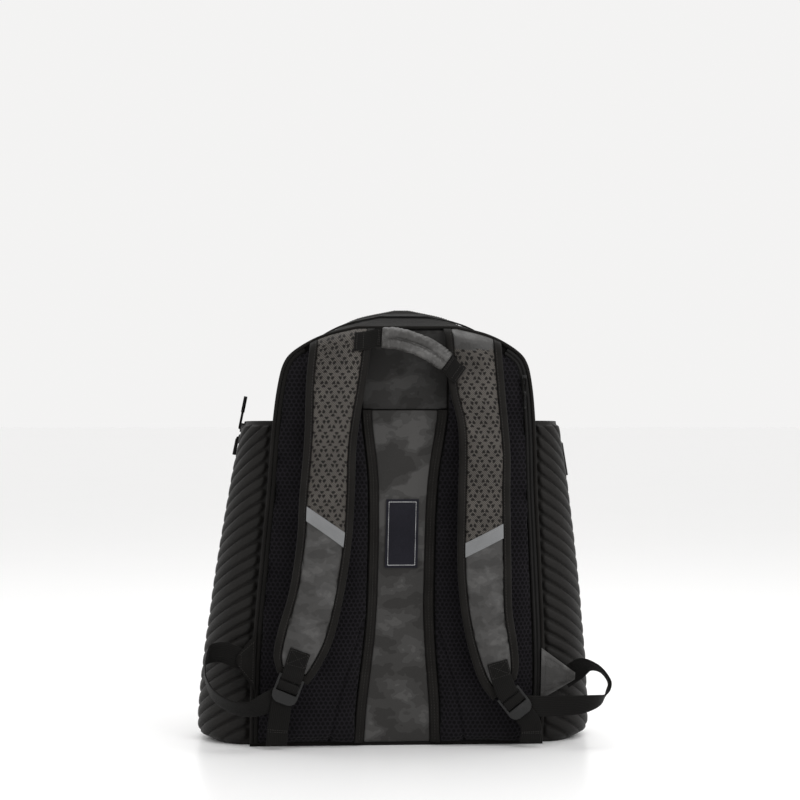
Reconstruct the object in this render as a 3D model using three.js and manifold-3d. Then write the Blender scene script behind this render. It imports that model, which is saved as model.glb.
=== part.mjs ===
// A baseball bat backpack that stands on the floor. Millimetres, +Z up.
// The shoulder straps face -Y and the outer front faces +Y. Left is -X, as seen from the strap side.
import * as THREE from 'three';
import { mergeVertices } from 'three/addons/utils/BufferGeometryUtils.js';
import Module from 'manifold-3d';

const wasm = await Module();
wasm.setup();

// The hollow body
const bagHeight = 503; // floor to the top seam of the back
const crestRise = 21; // how much higher the front arch stands than the back
const backHalfWidth = 176;
const frontHalfWidth = 146;
const bodyDepth = 150; // back board to the front edge, at the floor
const frontBulge = 34; // how far the front swells past its edge
const leanTop = 12; // how far the soft bag leans to the right at its top seam
const gap = 0.3; // kept between two pieces that touch
const trimGap = 0.6; // kept under a thin trim that follows a curved face
const boardThickness = 5;
const wallThickness = 2.5;
const shellThickness = 3;
const baseThickness = 4;
const sideDent = 9; // the side walls are pressed in where the bats lie

// Edges of the body
const weltRadius = 4.5; // corded roll round the front
const pipingRadius = 2.2; // piping round the back
const zipStripWidth = 9; // covered zip at the right edge of the back
const edgeStripWidth = 5; // plain strip at the left edge of the back
const edgeStripThickness = 5;
const mainZipWidth = 22;
const mainZipThickness = 1.6;
const mainZipPlace = 0.66; // share of the depth where the main zip runs
const mainZipLow = 0.82; // share of the height where the main zip ends

// The padded back
const padThickness = 12;
const channelHalfWidth = 40; // channel between the two pads, at the floor
const channelThickness = 2.5;
const yokeDrop = 101; // top seam of the back down to the seam under the yoke
const yokeHalfWidth = 52;
const tapeWidth = 11; // binding tape on each side of the channel
const tapeInnerThickness = 4;
const tapeOuterThickness = 9;
const patchWidth = 39;
const patchHeight = 82;
const patchThickness = 1.2;
const patchDrop = 148; // seam under the yoke down to the patch's centre

// The bat sleeves
const sleeveTop = 388;
const sleeveReach = 61; // how far a sleeve stands out past the back's edge, without its ribs
const sleeveStart = 9; // distance behind the board where the sleeve begins
const sleeveFrontRoom = 17; // side wall left free in front of the sleeve
const sleeveWall = 3.5;
const sleeveFloor = 4;
const ribPitch = 16;
const ribHeight = 4;
const ribFall = 136; // how far a rib falls on its way round the sleeve
const sleeveZipAngle = 1.75; // radians round the sleeve from its back edge
const sleeveZipSpread = 0.12; // half the zip's width in radians
const sleeveZipThickness = 2;
const sleeveZipFoot = 40;

// Shoulder straps and webbing
const strapThickness = 11;
const strapEdgeThickness = 8.5;
const strapRise = 26; // strap to back pad where they are furthest apart
const strapBinding = 9;
const reflectorHeight = 17;
const reflectorThickness = 0.8;
const webbingWidth = 25;
const webbingThickness = 1.6;
const tabThickness = 2.4;
const tabTipHalf = 4; // half the width of a side tab's free tip

// Ladder locks, a frame with three bars
const lockWidth = 31;
const lockThickness = 3;
const lockTop = 12.5;
const lockBottom = 12;
const lockTab = 9; // rounded lip below the last bar
const lockSlot = 5;
const lockUpperBar = 4;
const lockMiddleBar = 6;
const lockRail = 2.6;
const lockCorner = 1.5;
const lockShoulder = 5;
const lockClearance = 1.3; // strap's end to the webbing behind the lock

// Grab handle and zip pulls
const handleRoll = 14; // thickness of each of the handle's two rolls
const handleGather = 0.12; // how much a gather pinches a roll
const handleEndPinch = 0.15;
const handleTabWidth = 22;
const pullWidth = 6;
const pullThickness = 2.4;
const sliderLength = 11;
const sliderWidth = 8;
const sliderThickness = 4;
const hangingPull = 34;

// Sizes that follow from the ones above
const crestHeight = bagHeight + crestRise;
const channelTop = bagHeight - yokeDrop;
const patchMiddle = channelTop - patchDrop;
const sleeveHalfWidth = backHalfWidth + sleeveReach; // bag centre to the sleeve
const sleeveHalfRun = (bodyDepth - sleeveStart - sleeveFrontRoom) / 2;
const strapStand = padThickness + gap + strapRise; // strap to back board at its furthest
const webOut = lockThickness / 2 + webbingThickness / 2 + gap; // webbing against a lock's bar
const tabBack = -2 * gap - edgeStripThickness; // back face of a side tab

// Shares of backHalfWidth, frontHalfWidth and bodyDepth by share of the height
const bodyTable = [
  { up: 0, back: 1, front: 0.96, depth: 1 },
  { up: 0.2, back: 1, front: 1, depth: 1 },
  { up: 0.45, back: 0.955, front: 1, depth: 0.97 },
  { up: 0.6, back: 0.924, front: 0.985, depth: 0.93 },
  { up: 0.767, back: 0.898, front: 0.94, depth: 0.86 },
  { up: 0.875, back: 0.861, front: 0.85, depth: 0.8 },
  { up: 0.924, back: 0.812, front: 0.71, depth: 0.77 },
  { up: 0.954, back: 0.71, front: 0.56, depth: 0.75 },
  { up: 0.982, back: 0.545, front: 0.36, depth: 0.73 },
  { up: 1, back: 0.34, front: 0.06, depth: 0.72 },
];

// Shares of the height where the outline has a point
const outlineShares = [
  0, 0.1, 0.2, 0.325, 0.45, 0.6, 0.7, 0.767, 0.82, 0.875, 0.905, 0.93, 0.954, 0.97, 0.984, 1,
];

// Shares of channelHalfWidth by share of the height
const channelTable = [
  { up: 0, half: 1.01 },
  { up: 0.1, half: 0.95 },
  { up: 0.257, half: 0.765 },
  { up: 0.36, half: 0.71 },
  { up: 0.62, half: 0.75 },
  { up: 0.775, half: 0.985 },
  { up: 0.81, half: 1.01 },
];

// Shares of sleeveHalfWidth by share of the height, with a rounded foot
const sleeveTable = [
  { up: 0, reach: 0.935 },
  { up: 0.014, reach: 0.985 },
  { up: 0.04, reach: 1 },
  { up: 0.171, reach: 0.985 },
  { up: 0.288, reach: 0.958 },
  { up: 0.388, reach: 0.933 },
  { up: 0.477, reach: 0.907 },
  { up: 0.616, reach: 0.863 },
  { up: 0.771, reach: 0.804 },
  { up: 0.85, reach: 0.775 },
  { up: 0.95, reach: 0.738 },
];
const sleeveTableTop = sleeveTable[sleeveTable.length - 1].up;

// Strap edges as shares of backHalfWidth, rise of strapRise, and tilt of webbingWidth
const strapTables = {
  left: [
    { up: 0.167, outer: 0.824, inner: 0.618, rise: 0.404, tilt: 0.6 },
    { up: 0.205, outer: 0.853, inner: 0.549, rise: 0.492, tilt: 0.72 },
    { up: 0.268, outer: 0.827, inner: 0.461, rise: 0.638, tilt: 0.56 },
    { up: 0.37, outer: 0.758, inner: 0.393, rise: 0.842, tilt: 0.24 },
    { up: 0.497, outer: 0.715, inner: 0.347, rise: 1, tilt: 0 },
    { up: 0.596, outer: 0.706, inner: 0.336, rise: 1, tilt: 0 },
    { up: 0.729, outer: 0.682, inner: 0.328, rise: 0.755, tilt: 0 },
    { up: 0.861, outer: 0.678, inner: 0.276, rise: 0.375, tilt: 0 },
    { up: 0.94, outer: 0.665, inner: 0.244, rise: 0.13, tilt: 0 },
    { up: 0.976, outer: 0.658, inner: 0.216, rise: 0.02, tilt: 0 },
  ],
  right: [
    { up: 0.138, outer: 0.793, inner: 0.635, rise: 0.375, tilt: 1.04 },
    { up: 0.172, outer: 0.805, inner: 0.555, rise: 0.462, tilt: 1 },
    { up: 0.233, outer: 0.786, inner: 0.475, rise: 0.638, tilt: 0.72 },
    { up: 0.318, outer: 0.746, inner: 0.407, rise: 0.813, tilt: 0.32 },
    { up: 0.423, outer: 0.731, inner: 0.367, rise: 0.93, tilt: 0 },
    { up: 0.596, outer: 0.71, inner: 0.358, rise: 1, tilt: 0 },
    { up: 0.698, outer: 0.707, inner: 0.36, rise: 0.813, tilt: 0 },
    { up: 0.771, outer: 0.689, inner: 0.347, rise: 0.609, tilt: 0 },
    { up: 0.842, outer: 0.669, inner: 0.295, rise: 0.404, tilt: 0 },
    { up: 0.94, outer: 0.645, inner: 0.261, rise: 0.13, tilt: 0 },
    { up: 0.976, outer: 0.642, inner: 0.25, rise: 0.02, tilt: 0 },
  ],
};
const strapSteps = 14;

// Shares of the height of a reflector's upper edge at the strap's two sides
const reflectorTable = {
  left: { outerTop: 0.575, innerTop: 0.513 },
  right: { outerTop: 0.533, innerTop: 0.487 },
};

// Ladder locks: turn of the strap's end from straight down in radians, the lock's middle below that
// end as a share of lockTop, and beside it as a share of lockWidth
const lockTable = {
  left: { turn: -0.38, drop: 0.75, shift: -0.057 },
  right: { turn: 0.665, drop: 1.264, shift: 0 },
};

// Side tabs: shares of bagHeight of the seam's two ends and the tip, and of backHalfWidth of the tip
const tabTable = {
  left: { high: 0.272, low: 0.131, tipOut: 1.102, tipUp: 0.207 },
  right: { high: 0.231, low: 0.107, tipOut: 1.21, tipUp: 0.163 },
};

// The adjuster's root on the side tab: shares of webbingWidth from the tab's tip towards the bag
// and up, and the way that its width points
const rootTables = {
  left: [
    { inward: 0.4, rise: -0.04, wx: 0, wy: 0, wz: -1 },
    { inward: -0.12, rise: 0.16, wx: 0, wy: 0, wz: -1 },
  ],
  right: [
    { inward: 0.56, rise: -0.16, wx: -0.5, wy: 0, wz: 0.85 },
    { inward: 0, rise: 0.2, wx: -0.5, wy: -0.1, wz: 0.85 },
  ],
};

// The adjuster's free loop and its tail: shares of backHalfWidth, strapStand and bagHeight, and the
// way that its width points
const loopTables = {
  left: [
    { out: -1.193, stand: 0.105, up: 0.225, wx: 0, wy: 0.1, wz: -1 },
    { out: -1.273, stand: 0.237, up: 0.223, wx: 0, wy: 0.4, wz: -1 },
    { out: -1.313, stand: 0.526, up: 0.205, wx: -0.2, wy: 0.9, wz: -0.6 },
    { out: -1.301, stand: 0.842, up: 0.171, wx: -0.1, wy: 1, wz: -0.2 },
    { out: -1.244, stand: 1, up: 0.135, wx: -0.2, wy: 0.9, wz: -0.5 },
    { out: -1.125, stand: 1, up: 0.107, wx: -0.2, wy: 0.8, wz: -0.7 },
    { out: -1.006, stand: 0.895, up: 0.099, wx: 0, wy: 0.6, wz: -0.8 },
    { out: -0.898, stand: 0.816, up: 0.111, wx: 0.4, wy: 0.2, wz: -0.9 },
  ],
  right: [
    { out: 1.273, stand: 0.263, up: 0.191, wx: -0.3, wy: -0.6, wz: 0.7 },
    { out: 1.364, stand: 0.579, up: 0.183, wx: 0, wy: -1, wz: 0.3 },
    { out: 1.42, stand: 0.842, up: 0.153, wx: 0, wy: -1, wz: 0.1 },
    { out: 1.381, stand: 1, up: 0.121, wx: 0.2, wy: -0.8, wz: 0.6 },
    { out: 1.244, stand: 1, up: 0.105, wx: 0, wy: -0.4, wz: 0.9 },
    { out: 1.091, stand: 0.895, up: 0.101, wx: 0, wy: -0.1, wz: 1 },
    { out: 0.955, stand: 0.816, up: 0.099, wx: 0.1, wy: 0, wz: 1 },
  ],
};
const tailTables = {
  left: [
    { out: -0.801, stand: 0.842, up: 0.084, wx: 1, wy: 0, wz: 0 },
    { out: -0.813, stand: 0.789, up: 0.048, wx: 1, wy: 0.05, wz: 0 },
    { out: -0.818, stand: 0.684, up: 0.01, wx: 1, wy: 0.1, wz: 0.06 },
  ],
  right: [
    { out: 0.886, stand: 0.868, up: 0.062, wx: 0.9, wy: 0, wz: 0.45 },
    { out: 0.898, stand: 0.842, up: 0.04, wx: 1, wy: 0, wz: 0.2 },
    { out: 0.892, stand: 0.711, up: 0.012, wx: 1, wy: 0, wz: 0.05 },
  ],
};

// The grab handle's line: shares of backHalfWidth, strapStand and bagHeight
const handleTable = [
  { out: -0.176, stand: 0.71, up: 0.97 },
  { out: -0.08, stand: 0.868, up: 0.968 },
  { out: 0.045, stand: 0.947, up: 0.956 },
  { out: 0.17, stand: 0.92, up: 0.936 },
  { out: 0.267, stand: 0.8, up: 0.912 },
];

// Where the handle's tabs are sewn to the straps: share of the height, and across from the inner edge
const handleSeats = {
  left: [{ up: 0.964, across: 0.1 }, { up: 0.96, across: 0.3 }],
  right: [{ up: 0.892, across: 0.1 }, { up: 0.881, across: 0.22 }],
};

// Sleeve zip pulls: drop below the sleeve's top in slider lengths, whether the pull hangs (1) or
// stands up (-1), and its length as a share of hangingPull
const sleevePulls = [
  { name: 'sleeve_pull_left_upper', side: -1, drop: 0.73, way: -1, long: 1.12 },
  { name: 'sleeve_pull_left_lower', side: -1, drop: 2, way: 1, long: 0.59 },
  { name: 'sleeve_pull_right', side: 1, drop: 2.55, way: 1, long: 1.21 },
];

const smooth = (t) => t * t * (3 - 2 * t);
const clamp = THREE.MathUtils.clamp;
const lerp = THREE.MathUtils.lerp;

// A table's column read smoothly at a share of its first column
function read(table, name, at, by = 'up') {
  const last = table.length - 1;
  let i = 0;
  while (i < last - 1 && at > table[i + 1][by]) i += 1;
  const [a, b] = [table[i], table[i + 1]];
  const span = b[by] - a[by];
  const t = clamp((at - a[by]) / span, 0, 1);
  const slope = (p, q) => (q[name] - p[name]) / (q[by] - p[by]);
  const enter = slope(i > 0 ? table[i - 1] : a, b) * span;
  const leave = slope(a, i < last - 1 ? table[i + 2] : b) * span;
  const [t2, t3] = [t * t, t * t * t];
  const start = (2 * t3 - 3 * t2 + 1) * a[name] + (t3 - 2 * t2 + t) * enter;
  return start + (3 * t2 - 2 * t3) * b[name] + (t3 - t2) * leave;
}

// A point of the leaning bag
function at(x, y, z) {
  return new THREE.Vector3(x + (leanTop * z) / bagHeight, y, z);
}

// A geometry from points and triangles, turned so that its faces point outwards
function solidFrom(points, faces) {
  let volume = 0;
  for (const [a, b, c] of faces) {
    volume += points[a].dot(new THREE.Vector3().crossVectors(points[b], points[c]));
  }
  const index = volume < 0 ? faces.map(([a, b, c]) => [a, c, b]) : faces;
  const geometry = new THREE.BufferGeometry();
  const position = points.flatMap((p) => [p.x, p.y, p.z]);
  geometry.setAttribute('position', new THREE.Float32BufferAttribute(position, 3));
  geometry.setIndex(index.flat());
  return geometry;
}

function quad(a, b, c, d) {
  return [[a, b, c], [a, c, d]];
}

// The closed slab between two grids that have the same rows and columns
function slab(front, back) {
  const rows = front.length;
  const columns = front[0].length;
  const points = [...front.flat(), ...back.flat()];
  const far = rows * columns;
  const cell = (r, c, side) => side * far + r * columns + c;
  const faces = [];
  for (let r = 0; r < rows - 1; r += 1) {
    for (let c = 0; c < columns - 1; c += 1) {
      faces.push(...quad(cell(r, c, 0), cell(r, c + 1, 0), cell(r + 1, c + 1, 0), cell(r + 1, c, 0)));
      faces.push(...quad(cell(r, c, 1), cell(r + 1, c, 1), cell(r + 1, c + 1, 1), cell(r, c + 1, 1)));
    }
  }
  for (let r = 0; r < rows - 1; r += 1) {
    const end = columns - 1;
    faces.push(...quad(cell(r, 0, 0), cell(r + 1, 0, 0), cell(r + 1, 0, 1), cell(r, 0, 1)));
    faces.push(...quad(cell(r, end, 0), cell(r, end, 1), cell(r + 1, end, 1), cell(r + 1, end, 0)));
  }
  for (let c = 0; c < columns - 1; c += 1) {
    const end = rows - 1;
    faces.push(...quad(cell(0, c, 0), cell(0, c, 1), cell(0, c + 1, 1), cell(0, c + 1, 0)));
    faces.push(...quad(cell(end, c, 0), cell(end, c + 1, 0), cell(end, c + 1, 1), cell(end, c, 1)));
  }
  return solidFrom(points, faces);
}

// The closed solid through a row of rings, its two ends closed from their middles
function tube(rings) {
  const count = rings[0].length;
  const points = rings.flat();
  const faces = [];
  for (let r = 0; r < rings.length - 1; r += 1) {
    for (let i = 0; i < count; i += 1) {
      const j = (i + 1) % count;
      faces.push(...quad(r * count + i, r * count + j, (r + 1) * count + j, (r + 1) * count + i));
    }
  }
  for (const r of [0, rings.length - 1]) {
    const middle = new THREE.Vector3();
    rings[r].forEach((p) => middle.addScaledVector(p, 1 / count));
    points.push(middle);
    for (let i = 0; i < count; i += 1) {
      const [a, b] = [r * count + i, r * count + ((i + 1) % count)];
      faces.push(r === 0 ? [points.length - 1, b, a] : [points.length - 1, a, b]);
    }
  }
  return solidFrom(points, faces);
}

// A solid for joining and cutting, from a closed geometry
function solid(geometry) {
  const bare = geometry.clone();
  bare.deleteAttribute('normal');
  bare.deleteAttribute('uv');
  const merged = mergeVertices(bare, 1e-4);
  return new wasm.Manifold(new wasm.Mesh({
    numProp: 3,
    vertProperties: new Float32Array(merged.attributes.position.array),
    triVerts: new Uint32Array(merged.index.array),
  }));
}

function geometryOf(manifold) {
  const mesh = manifold.getMesh();
  const geometry = new THREE.BufferGeometry();
  geometry.setAttribute('position', new THREE.BufferAttribute(new Float32Array(mesh.vertProperties), 3));
  geometry.setIndex(new THREE.BufferAttribute(new Uint32Array(mesh.triVerts), 1));
  return geometry;
}

// A line of x,z points moved sideways, to the right of the way it runs
function shifted(line, distance) {
  return line.map((p, i) => {
    const before = line[Math.max(i - 1, 0)];
    const after = line[Math.min(i + 1, line.length - 1)];
    const [tx, tz] = [after.x - before.x, after.z - before.z];
    const length = Math.hypot(tx, tz);
    return { ...p, x: p.x + (distance * tz) / length, z: p.z - (distance * tx) / length };
  });
}

// Half the body's width at a share of the height and of the depth
function bodyHalf(up, deep) {
  const back = backHalfWidth * read(bodyTable, 'back', up);
  const front = frontHalfWidth * read(bodyTable, 'front', up);
  return lerp(back, front, deep);
}

const bodyStart = boardThickness + gap;
const bodyLength = (up) => bodyDepth * read(bodyTable, 'depth', up);

// The body's outline at a share of its depth: up the left side, over the top, down the right
function outline(deep, foot = baseThickness + gap) {
  const height = lerp(bagHeight, crestHeight, deep);
  const half = outlineShares.map((share) => {
    const z = share > 0 ? share * height : foot;
    const pressed = sideDent * Math.sin(Math.PI * clamp(deep, 0, 1)) * smooth(clamp((0.9 - share) / 0.2, 0, 1));
    return { x: bodyHalf(share, deep) - pressed, z, up: share };
  });
  const left = half.map((p) => ({ ...p, x: -p.x }));
  return [...left, ...half.slice().reverse()];
}

// The outline's left half at the back board, moved in from the edge, with x as a positive half width
function backEdge(inset, from = 0, to = 1) {
  const line = shifted(outline(0), inset).slice(0, outlineShares.length);
  return line.filter((p) => p.up >= from && p.up <= to).map((p) => ({ ...p, x: -p.x }));
}

function bodyY(up, deep) {
  return bodyStart + deep * bodyLength(up);
}

const depthRows = [0, 0.25, 0.5, 0.75, 1];

function gusset() {
  const sheet = (inset) => depthRows.map((deep) => (
    shifted(outline(deep), inset).map((p) => at(p.x, bodyY(p.up, deep), p.z))
  ));
  return slab(sheet(0), sheet(wallThickness));
}

// The filled body, grown by the gap, that the sleeves are cut with
function bodyFill() {
  const rings = [-0.1, ...depthRows, 1.1].map((deep) => (
    shifted(outline(deep, -baseThickness), -gap).map((p) => at(p.x, bodyY(p.up, deep), p.z))
  ));
  return solid(tube(rings));
}

function backBoard() {
  const face = (y) => backEdge(0).map((p) => [at(-p.x, y, p.z), at(p.x, y, p.z)]);
  return slab(face(0), face(boardThickness));
}

// The floor of the bag, which carries the back board, the side walls and the front
function basePanel() {
  const rows = depthRows.map((deep) => ({ half: outline(deep)[0].x, y: bodyY(0, deep) }));
  rows[0].y = 0;
  rows.push({ half: rows[rows.length - 1].half, y: bodyY(0, 1) + gap + 2 * weltRadius });
  const sheet = (z) => rows.map(({ half, y }) => [at(half, y, z), at(-half, y, z)]);
  return slab(sheet(baseThickness), sheet(0));
}

// The front: a swelling shell inside the corded welt
function frontShell() {
  const line = shifted(outline(1), 2 * weltRadius + gap).slice(0, outlineShares.length);
  const [low, high] = [line[0].z, line[line.length - 1].z];
  const across = [-1, -0.88, -0.5, 0, 0.5, 0.88, 1];
  const sheet = (out) => line.map((p) => across.map((c) => {
    const tall = (p.z - low) / (high - low);
    const swell = (1 - Math.abs(c) ** 3) * (1 - Math.abs(2 * tall - 1) ** 5);
    return at(-p.x * c, bodyY(p.up, 1) + gap + out + frontBulge * swell, p.z);
  }));
  return slab(sheet(shellThickness), sheet(0));
}

// A roll along a line of x,y,z points, with its section in rings
function roll(points, radius, sides) {
  const rings = points.map((p, i) => {
    const before = points[Math.max(i - 1, 0)];
    const after = points[Math.min(i + 1, points.length - 1)];
    const along = new THREE.Vector3().subVectors(after, before).normalize();
    const depth = new THREE.Vector3(0, 1, 0).addScaledVector(along, -along.y).normalize();
    const side = new THREE.Vector3().crossVectors(along, depth);
    return Array.from({ length: sides }, (_, k) => {
      const turn = (2 * Math.PI * k) / sides;
      const offset = depth.clone().multiplyScalar(Math.cos(turn) * radius);
      return p.clone().add(offset).addScaledVector(side, Math.sin(turn) * radius);
    });
  });
  return tube(rings);
}

function frontWelt() {
  const line = shifted(outline(1), weltRadius);
  const spine = line.map((p) => at(p.x, bodyY(p.up, 1) + gap + weltRadius, p.z));
  return roll(spine, weltRadius, 6);
}

function backPiping() {
  const line = shifted(outline(0), pipingRadius);
  return roll(line.map((p) => at(p.x, -gap - pipingRadius, p.z)), pipingRadius, 5);
}

function mainZip() {
  const half = mainZipWidth / 2 / bodyDepth;
  const rows = [mainZipPlace - half, mainZipPlace + half];
  const sheet = (out) => rows.map((deep) => {
    const line = shifted(outline(deep), -out).filter((p) => p.up >= mainZipLow);
    return line.map((p) => at(p.x, bodyY(p.up, deep), p.z));
  });
  return slab(sheet(trimGap + mainZipThickness), sheet(trimGap));
}

const pipingRoom = 2 * pipingRadius + gap;

// A strip down one side of the back, between the piping and the pad
function edgeStrip(side, width) {
  const outer = backEdge(pipingRoom, 0, 0.954);
  const inner = backEdge(pipingRoom + width, 0, 0.954);
  const face = (y) => outer.map((p, i) => [at(side * p.x, y, p.z), at(side * inner[i].x, y, inner[i].z)]);
  return slab(face(-gap - edgeStripThickness), face(-gap));
}

function channelHalf(z) {
  return z > channelTop ? yokeHalfWidth - tapeWidth : channelHalfWidth * read(channelTable, 'half', z / bagHeight);
}

// A crowned pad from the channel's tape to the strip at the edge
function backPad(side, stripWidth) {
  const outer = backEdge(pipingRoom + stripWidth + gap);
  const rows = outer.length;
  const profile = [0, 0.1, 0.4, 0.7, 0.93, 1];
  const crown = [0.75, 0.97, 1, 1, 0.87, 0.35];
  const end = [0.55, 0.85, 1];
  const sheet = (thick) => outer.map((p, i) => profile.map((c, k) => {
    const inner = channelHalf(p.z) + tapeWidth + gap;
    const rim = Math.min(end[i] ?? 1, end[rows - 1 - i] ?? 1);
    const y = -gap - (thick ? padThickness * crown[k] * rim : 0);
    return at(side * lerp(inner, Math.max(p.x, inner + pipingRoom), c), y, p.z);
  }));
  return slab(sheet(true), sheet(false));
}

const channelRows = Array.from({ length: 13 }, (_, i) => i / 12);

function channelPanel() {
  const foot = baseThickness + gap;
  const face = (y) => channelRows.map((share) => {
    const z = lerp(foot, channelTop, share);
    const half = channelHalf(z) - gap;
    return [at(-half, y, z), at(half, y, z)];
  });
  return slab(face(-gap - channelThickness), face(-gap));
}

function yokePanel() {
  const half = yokeHalfWidth - 3 * gap;
  const [low, high] = [channelTop + 1, bagHeight - pipingRoom - gap];
  const face = (y) => [[at(-half, y, low), at(half, y, low)], [at(-half, y, high), at(half, y, high)]];
  return slab(face(-gap - channelThickness), face(-gap));
}

function channelTape(side) {
  const foot = baseThickness + gap;
  const across = [0, 0.5, 1];
  const face = (thick) => channelRows.map((share) => across.map((c) => {
    const z = lerp(foot, channelTop, share);
    const y = -gap - (thick ? lerp(tapeInnerThickness, tapeOuterThickness, c) : 0);
    return at(side * (channelHalf(z) + c * tapeWidth), y, z);
  }));
  return slab(face(true), face(false));
}

// A point of a sleeve at a height and an angle round it, moved out from its cloth
function sleevePoint(side, z, angle, out) {
  const up = clamp(z / bagHeight, 0, sleeveTableTop);
  const length = bodyLength(up);
  const run = sleeveHalfRun * read(bodyTable, 'depth', up);
  const y = bodyStart + sleeveStart + run - run * Math.cos(angle);
  const chord = bodyHalf(up, (y - bodyStart) / length);
  const reach = sleeveHalfWidth * read(sleeveTable, 'reach', up);
  const x = lerp(chord, reach, Math.max(Math.sin(angle), 0) ** 0.8);
  const wide = reach - chord;
  const [nx, ny] = [run * Math.sin(angle), -wide * Math.cos(angle)];
  const scale = out / Math.hypot(nx, ny);
  return at(side * (x + nx * scale), y + ny * scale, z);
}

const sleeveAngles = Array.from({ length: 11 }, (_, i) => (Math.PI * i) / 10);
const ribProfile = [0, 1];

// The sleeve's outside, with ribs that run down and round from the back edge
function ribbedColumn(side) {
  const rings = [];
  const steps = ribProfile.length;
  const low = -ribPitch;
  const rows = Math.ceil(((sleeveTop + ribFall + 2 * ribPitch) / ribPitch) * steps);
  for (let row = 0; row <= rows; row += 1) {
    const level = low + (row * ribPitch) / steps;
    const ring = sleeveAngles.map((angle) => {
      const fade = smooth(clamp(Math.min(angle, Math.PI - angle) / 0.45, 0, 1));
      const z = level - (ribFall * angle) / Math.PI;
      return sleevePoint(side, z, angle, ribHeight * ribProfile[row % steps] * fade);
    });
    const inward = (p) => p.clone().add(new THREE.Vector3(-side * 2 * sideDent, 0, 0));
    rings.push([inward(ring[0]), ...ring, inward(ring[ring.length - 1])]);
  }
  return solid(tube(rings));
}

// The room inside the sleeve, which runs into the body so that the sleeve is a shell on it
function sleeveRoom(side) {
  const shares = [0, 0.04, 0.14, 0.3, 0.46, 0.62, 0.77, 0.9];
  const heights = [...shares.map((share) => lerp(sleeveFloor, sleeveTop, share)), sleeveTop + ribPitch];
  const rings = heights.map((z) => {
    const ring = sleeveAngles.map((angle) => sleevePoint(side, z, angle, -sleeveWall));
    const inward = (p) => p.clone().add(new THREE.Vector3(-side * 3 * sideDent, 0, 0));
    return [inward(ring[0]), ...ring, inward(ring[ring.length - 1])];
  });
  return solid(tube(rings));
}

// A strip on the sleeve round its zip, between two distances from the cloth
function sleeveStrip(side, spread, near, far) {
  const heights = Array.from({ length: 8 }, (_, i) => lerp(sleeveZipFoot, sleeveTop - gap, i / 7));
  const angles = [-1, 0, 1].map((k) => sleeveZipAngle + k * spread);
  const sheet = (out) => heights.map((z) => angles.map((angle) => sleevePoint(side, z, angle, out)));
  return slab(sheet(far), sheet(near));
}

function batSleeve(side, body) {
  const span = 4 * sleeveHalfWidth;
  const band = new THREE.BoxGeometry(span, span, sleeveTop).translate(0, 0, sleeveTop / 2);
  const bed = solid(sleeveStrip(side, sleeveZipSpread + 0.01, -gap, 3 * ribHeight));
  return geometryOf(
    ribbedColumn(side).intersect(solid(band)).subtract(sleeveRoom(side)).subtract(body).subtract(bed),
  );
}

// A point of a strap: share across it from its inner edge, and distance out from its back face
function strapPoint(name, up, across, out) {
  const table = strapTables[name];
  const side = name === 'left' ? -1 : 1;
  const inner = backHalfWidth * read(table, 'inner', up);
  const outer = backHalfWidth * read(table, 'outer', up);
  const z = up * bagHeight + webbingWidth * read(table, 'tilt', up) * (across - 0.5);
  const y = -gap - padThickness - strapRise * read(table, 'rise', up) - out;
  return at(side * lerp(inner, outer, across), y, z);
}

function strapWidth(name, up) {
  return backHalfWidth * (read(strapTables[name], 'outer', up) - read(strapTables[name], 'inner', up));
}

function strapRows(name, foot) {
  const table = strapTables[name];
  const low = table[0].up + foot / bagHeight;
  const high = table[table.length - 1].up;
  return Array.from({ length: strapSteps + 1 }, (_, i) => lerp(low, high, i / strapSteps));
}

// How far the crowned face of a strap stands out from its back
const strapFace = (across) => lerp(strapEdgeThickness, strapThickness, smooth(1 - Math.abs(2 * across - 1)));

function strapCore(name) {
  const sheet = (thick) => strapRows(name, strapBinding + gap).map((up) => {
    const edge = (strapBinding + gap) / strapWidth(name, up);
    return [0, 0.25, 0.5, 0.75, 1].map((c) => {
      const across = lerp(edge, 1 - edge, c);
      return strapPoint(name, up, across, thick ? strapFace(across) : 0);
    });
  });
  return slab(sheet(true), sheet(false));
}

// The bound edge of a strap: down its outer side, round the end and up its inner side
function strapEdge(name) {
  const ups = strapRows(name, strapBinding);
  const foot = strapTables[name][0].up;
  const section = [{ in: 0, front: 0.7, back: 0.3 }, { in: 0.35, front: 1, back: 0 }, { in: 1, front: 1, back: 0 }];
  const row = (up, side, thick) => section.map((s) => {
    const share = (s.in * strapBinding) / strapWidth(name, up);
    return strapPoint(name, up, side > 0 ? 1 - share : share, strapEdgeThickness * (thick ? s.front : s.back));
  });
  const corner = (side, thick) => section.map((s) => {
    const up = lerp(foot, ups[0], s.in);
    const share = (s.in * strapBinding) / strapWidth(name, up);
    return strapPoint(name, up, side > 0 ? 1 - share : share, strapEdgeThickness * (thick ? s.front : s.back));
  });
  const sheet = (thick) => [
    ...ups.slice(1).reverse().map((up) => row(up, 1, thick)),
    corner(1, thick),
    corner(-1, thick),
    ...ups.slice(1).map((up) => row(up, -1, thick)),
  ];
  return slab(sheet(true), sheet(false));
}

function reflector(name) {
  const { outerTop, innerTop } = reflectorTable[name];
  const sheet = (out) => [0, 0.5, 1].map((down) => [0, 0.25, 0.5, 0.75, 1].map((c) => {
    const up = lerp(innerTop, outerTop, c) - (down * reflectorHeight) / bagHeight;
    const edge = (strapBinding + gap) / strapWidth(name, up);
    const across = lerp(edge, 1 - edge, c);
    return strapPoint(name, up, across, strapFace(across) + out);
  }));
  return slab(sheet(trimGap + reflectorThickness), sheet(trimGap));
}

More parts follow.
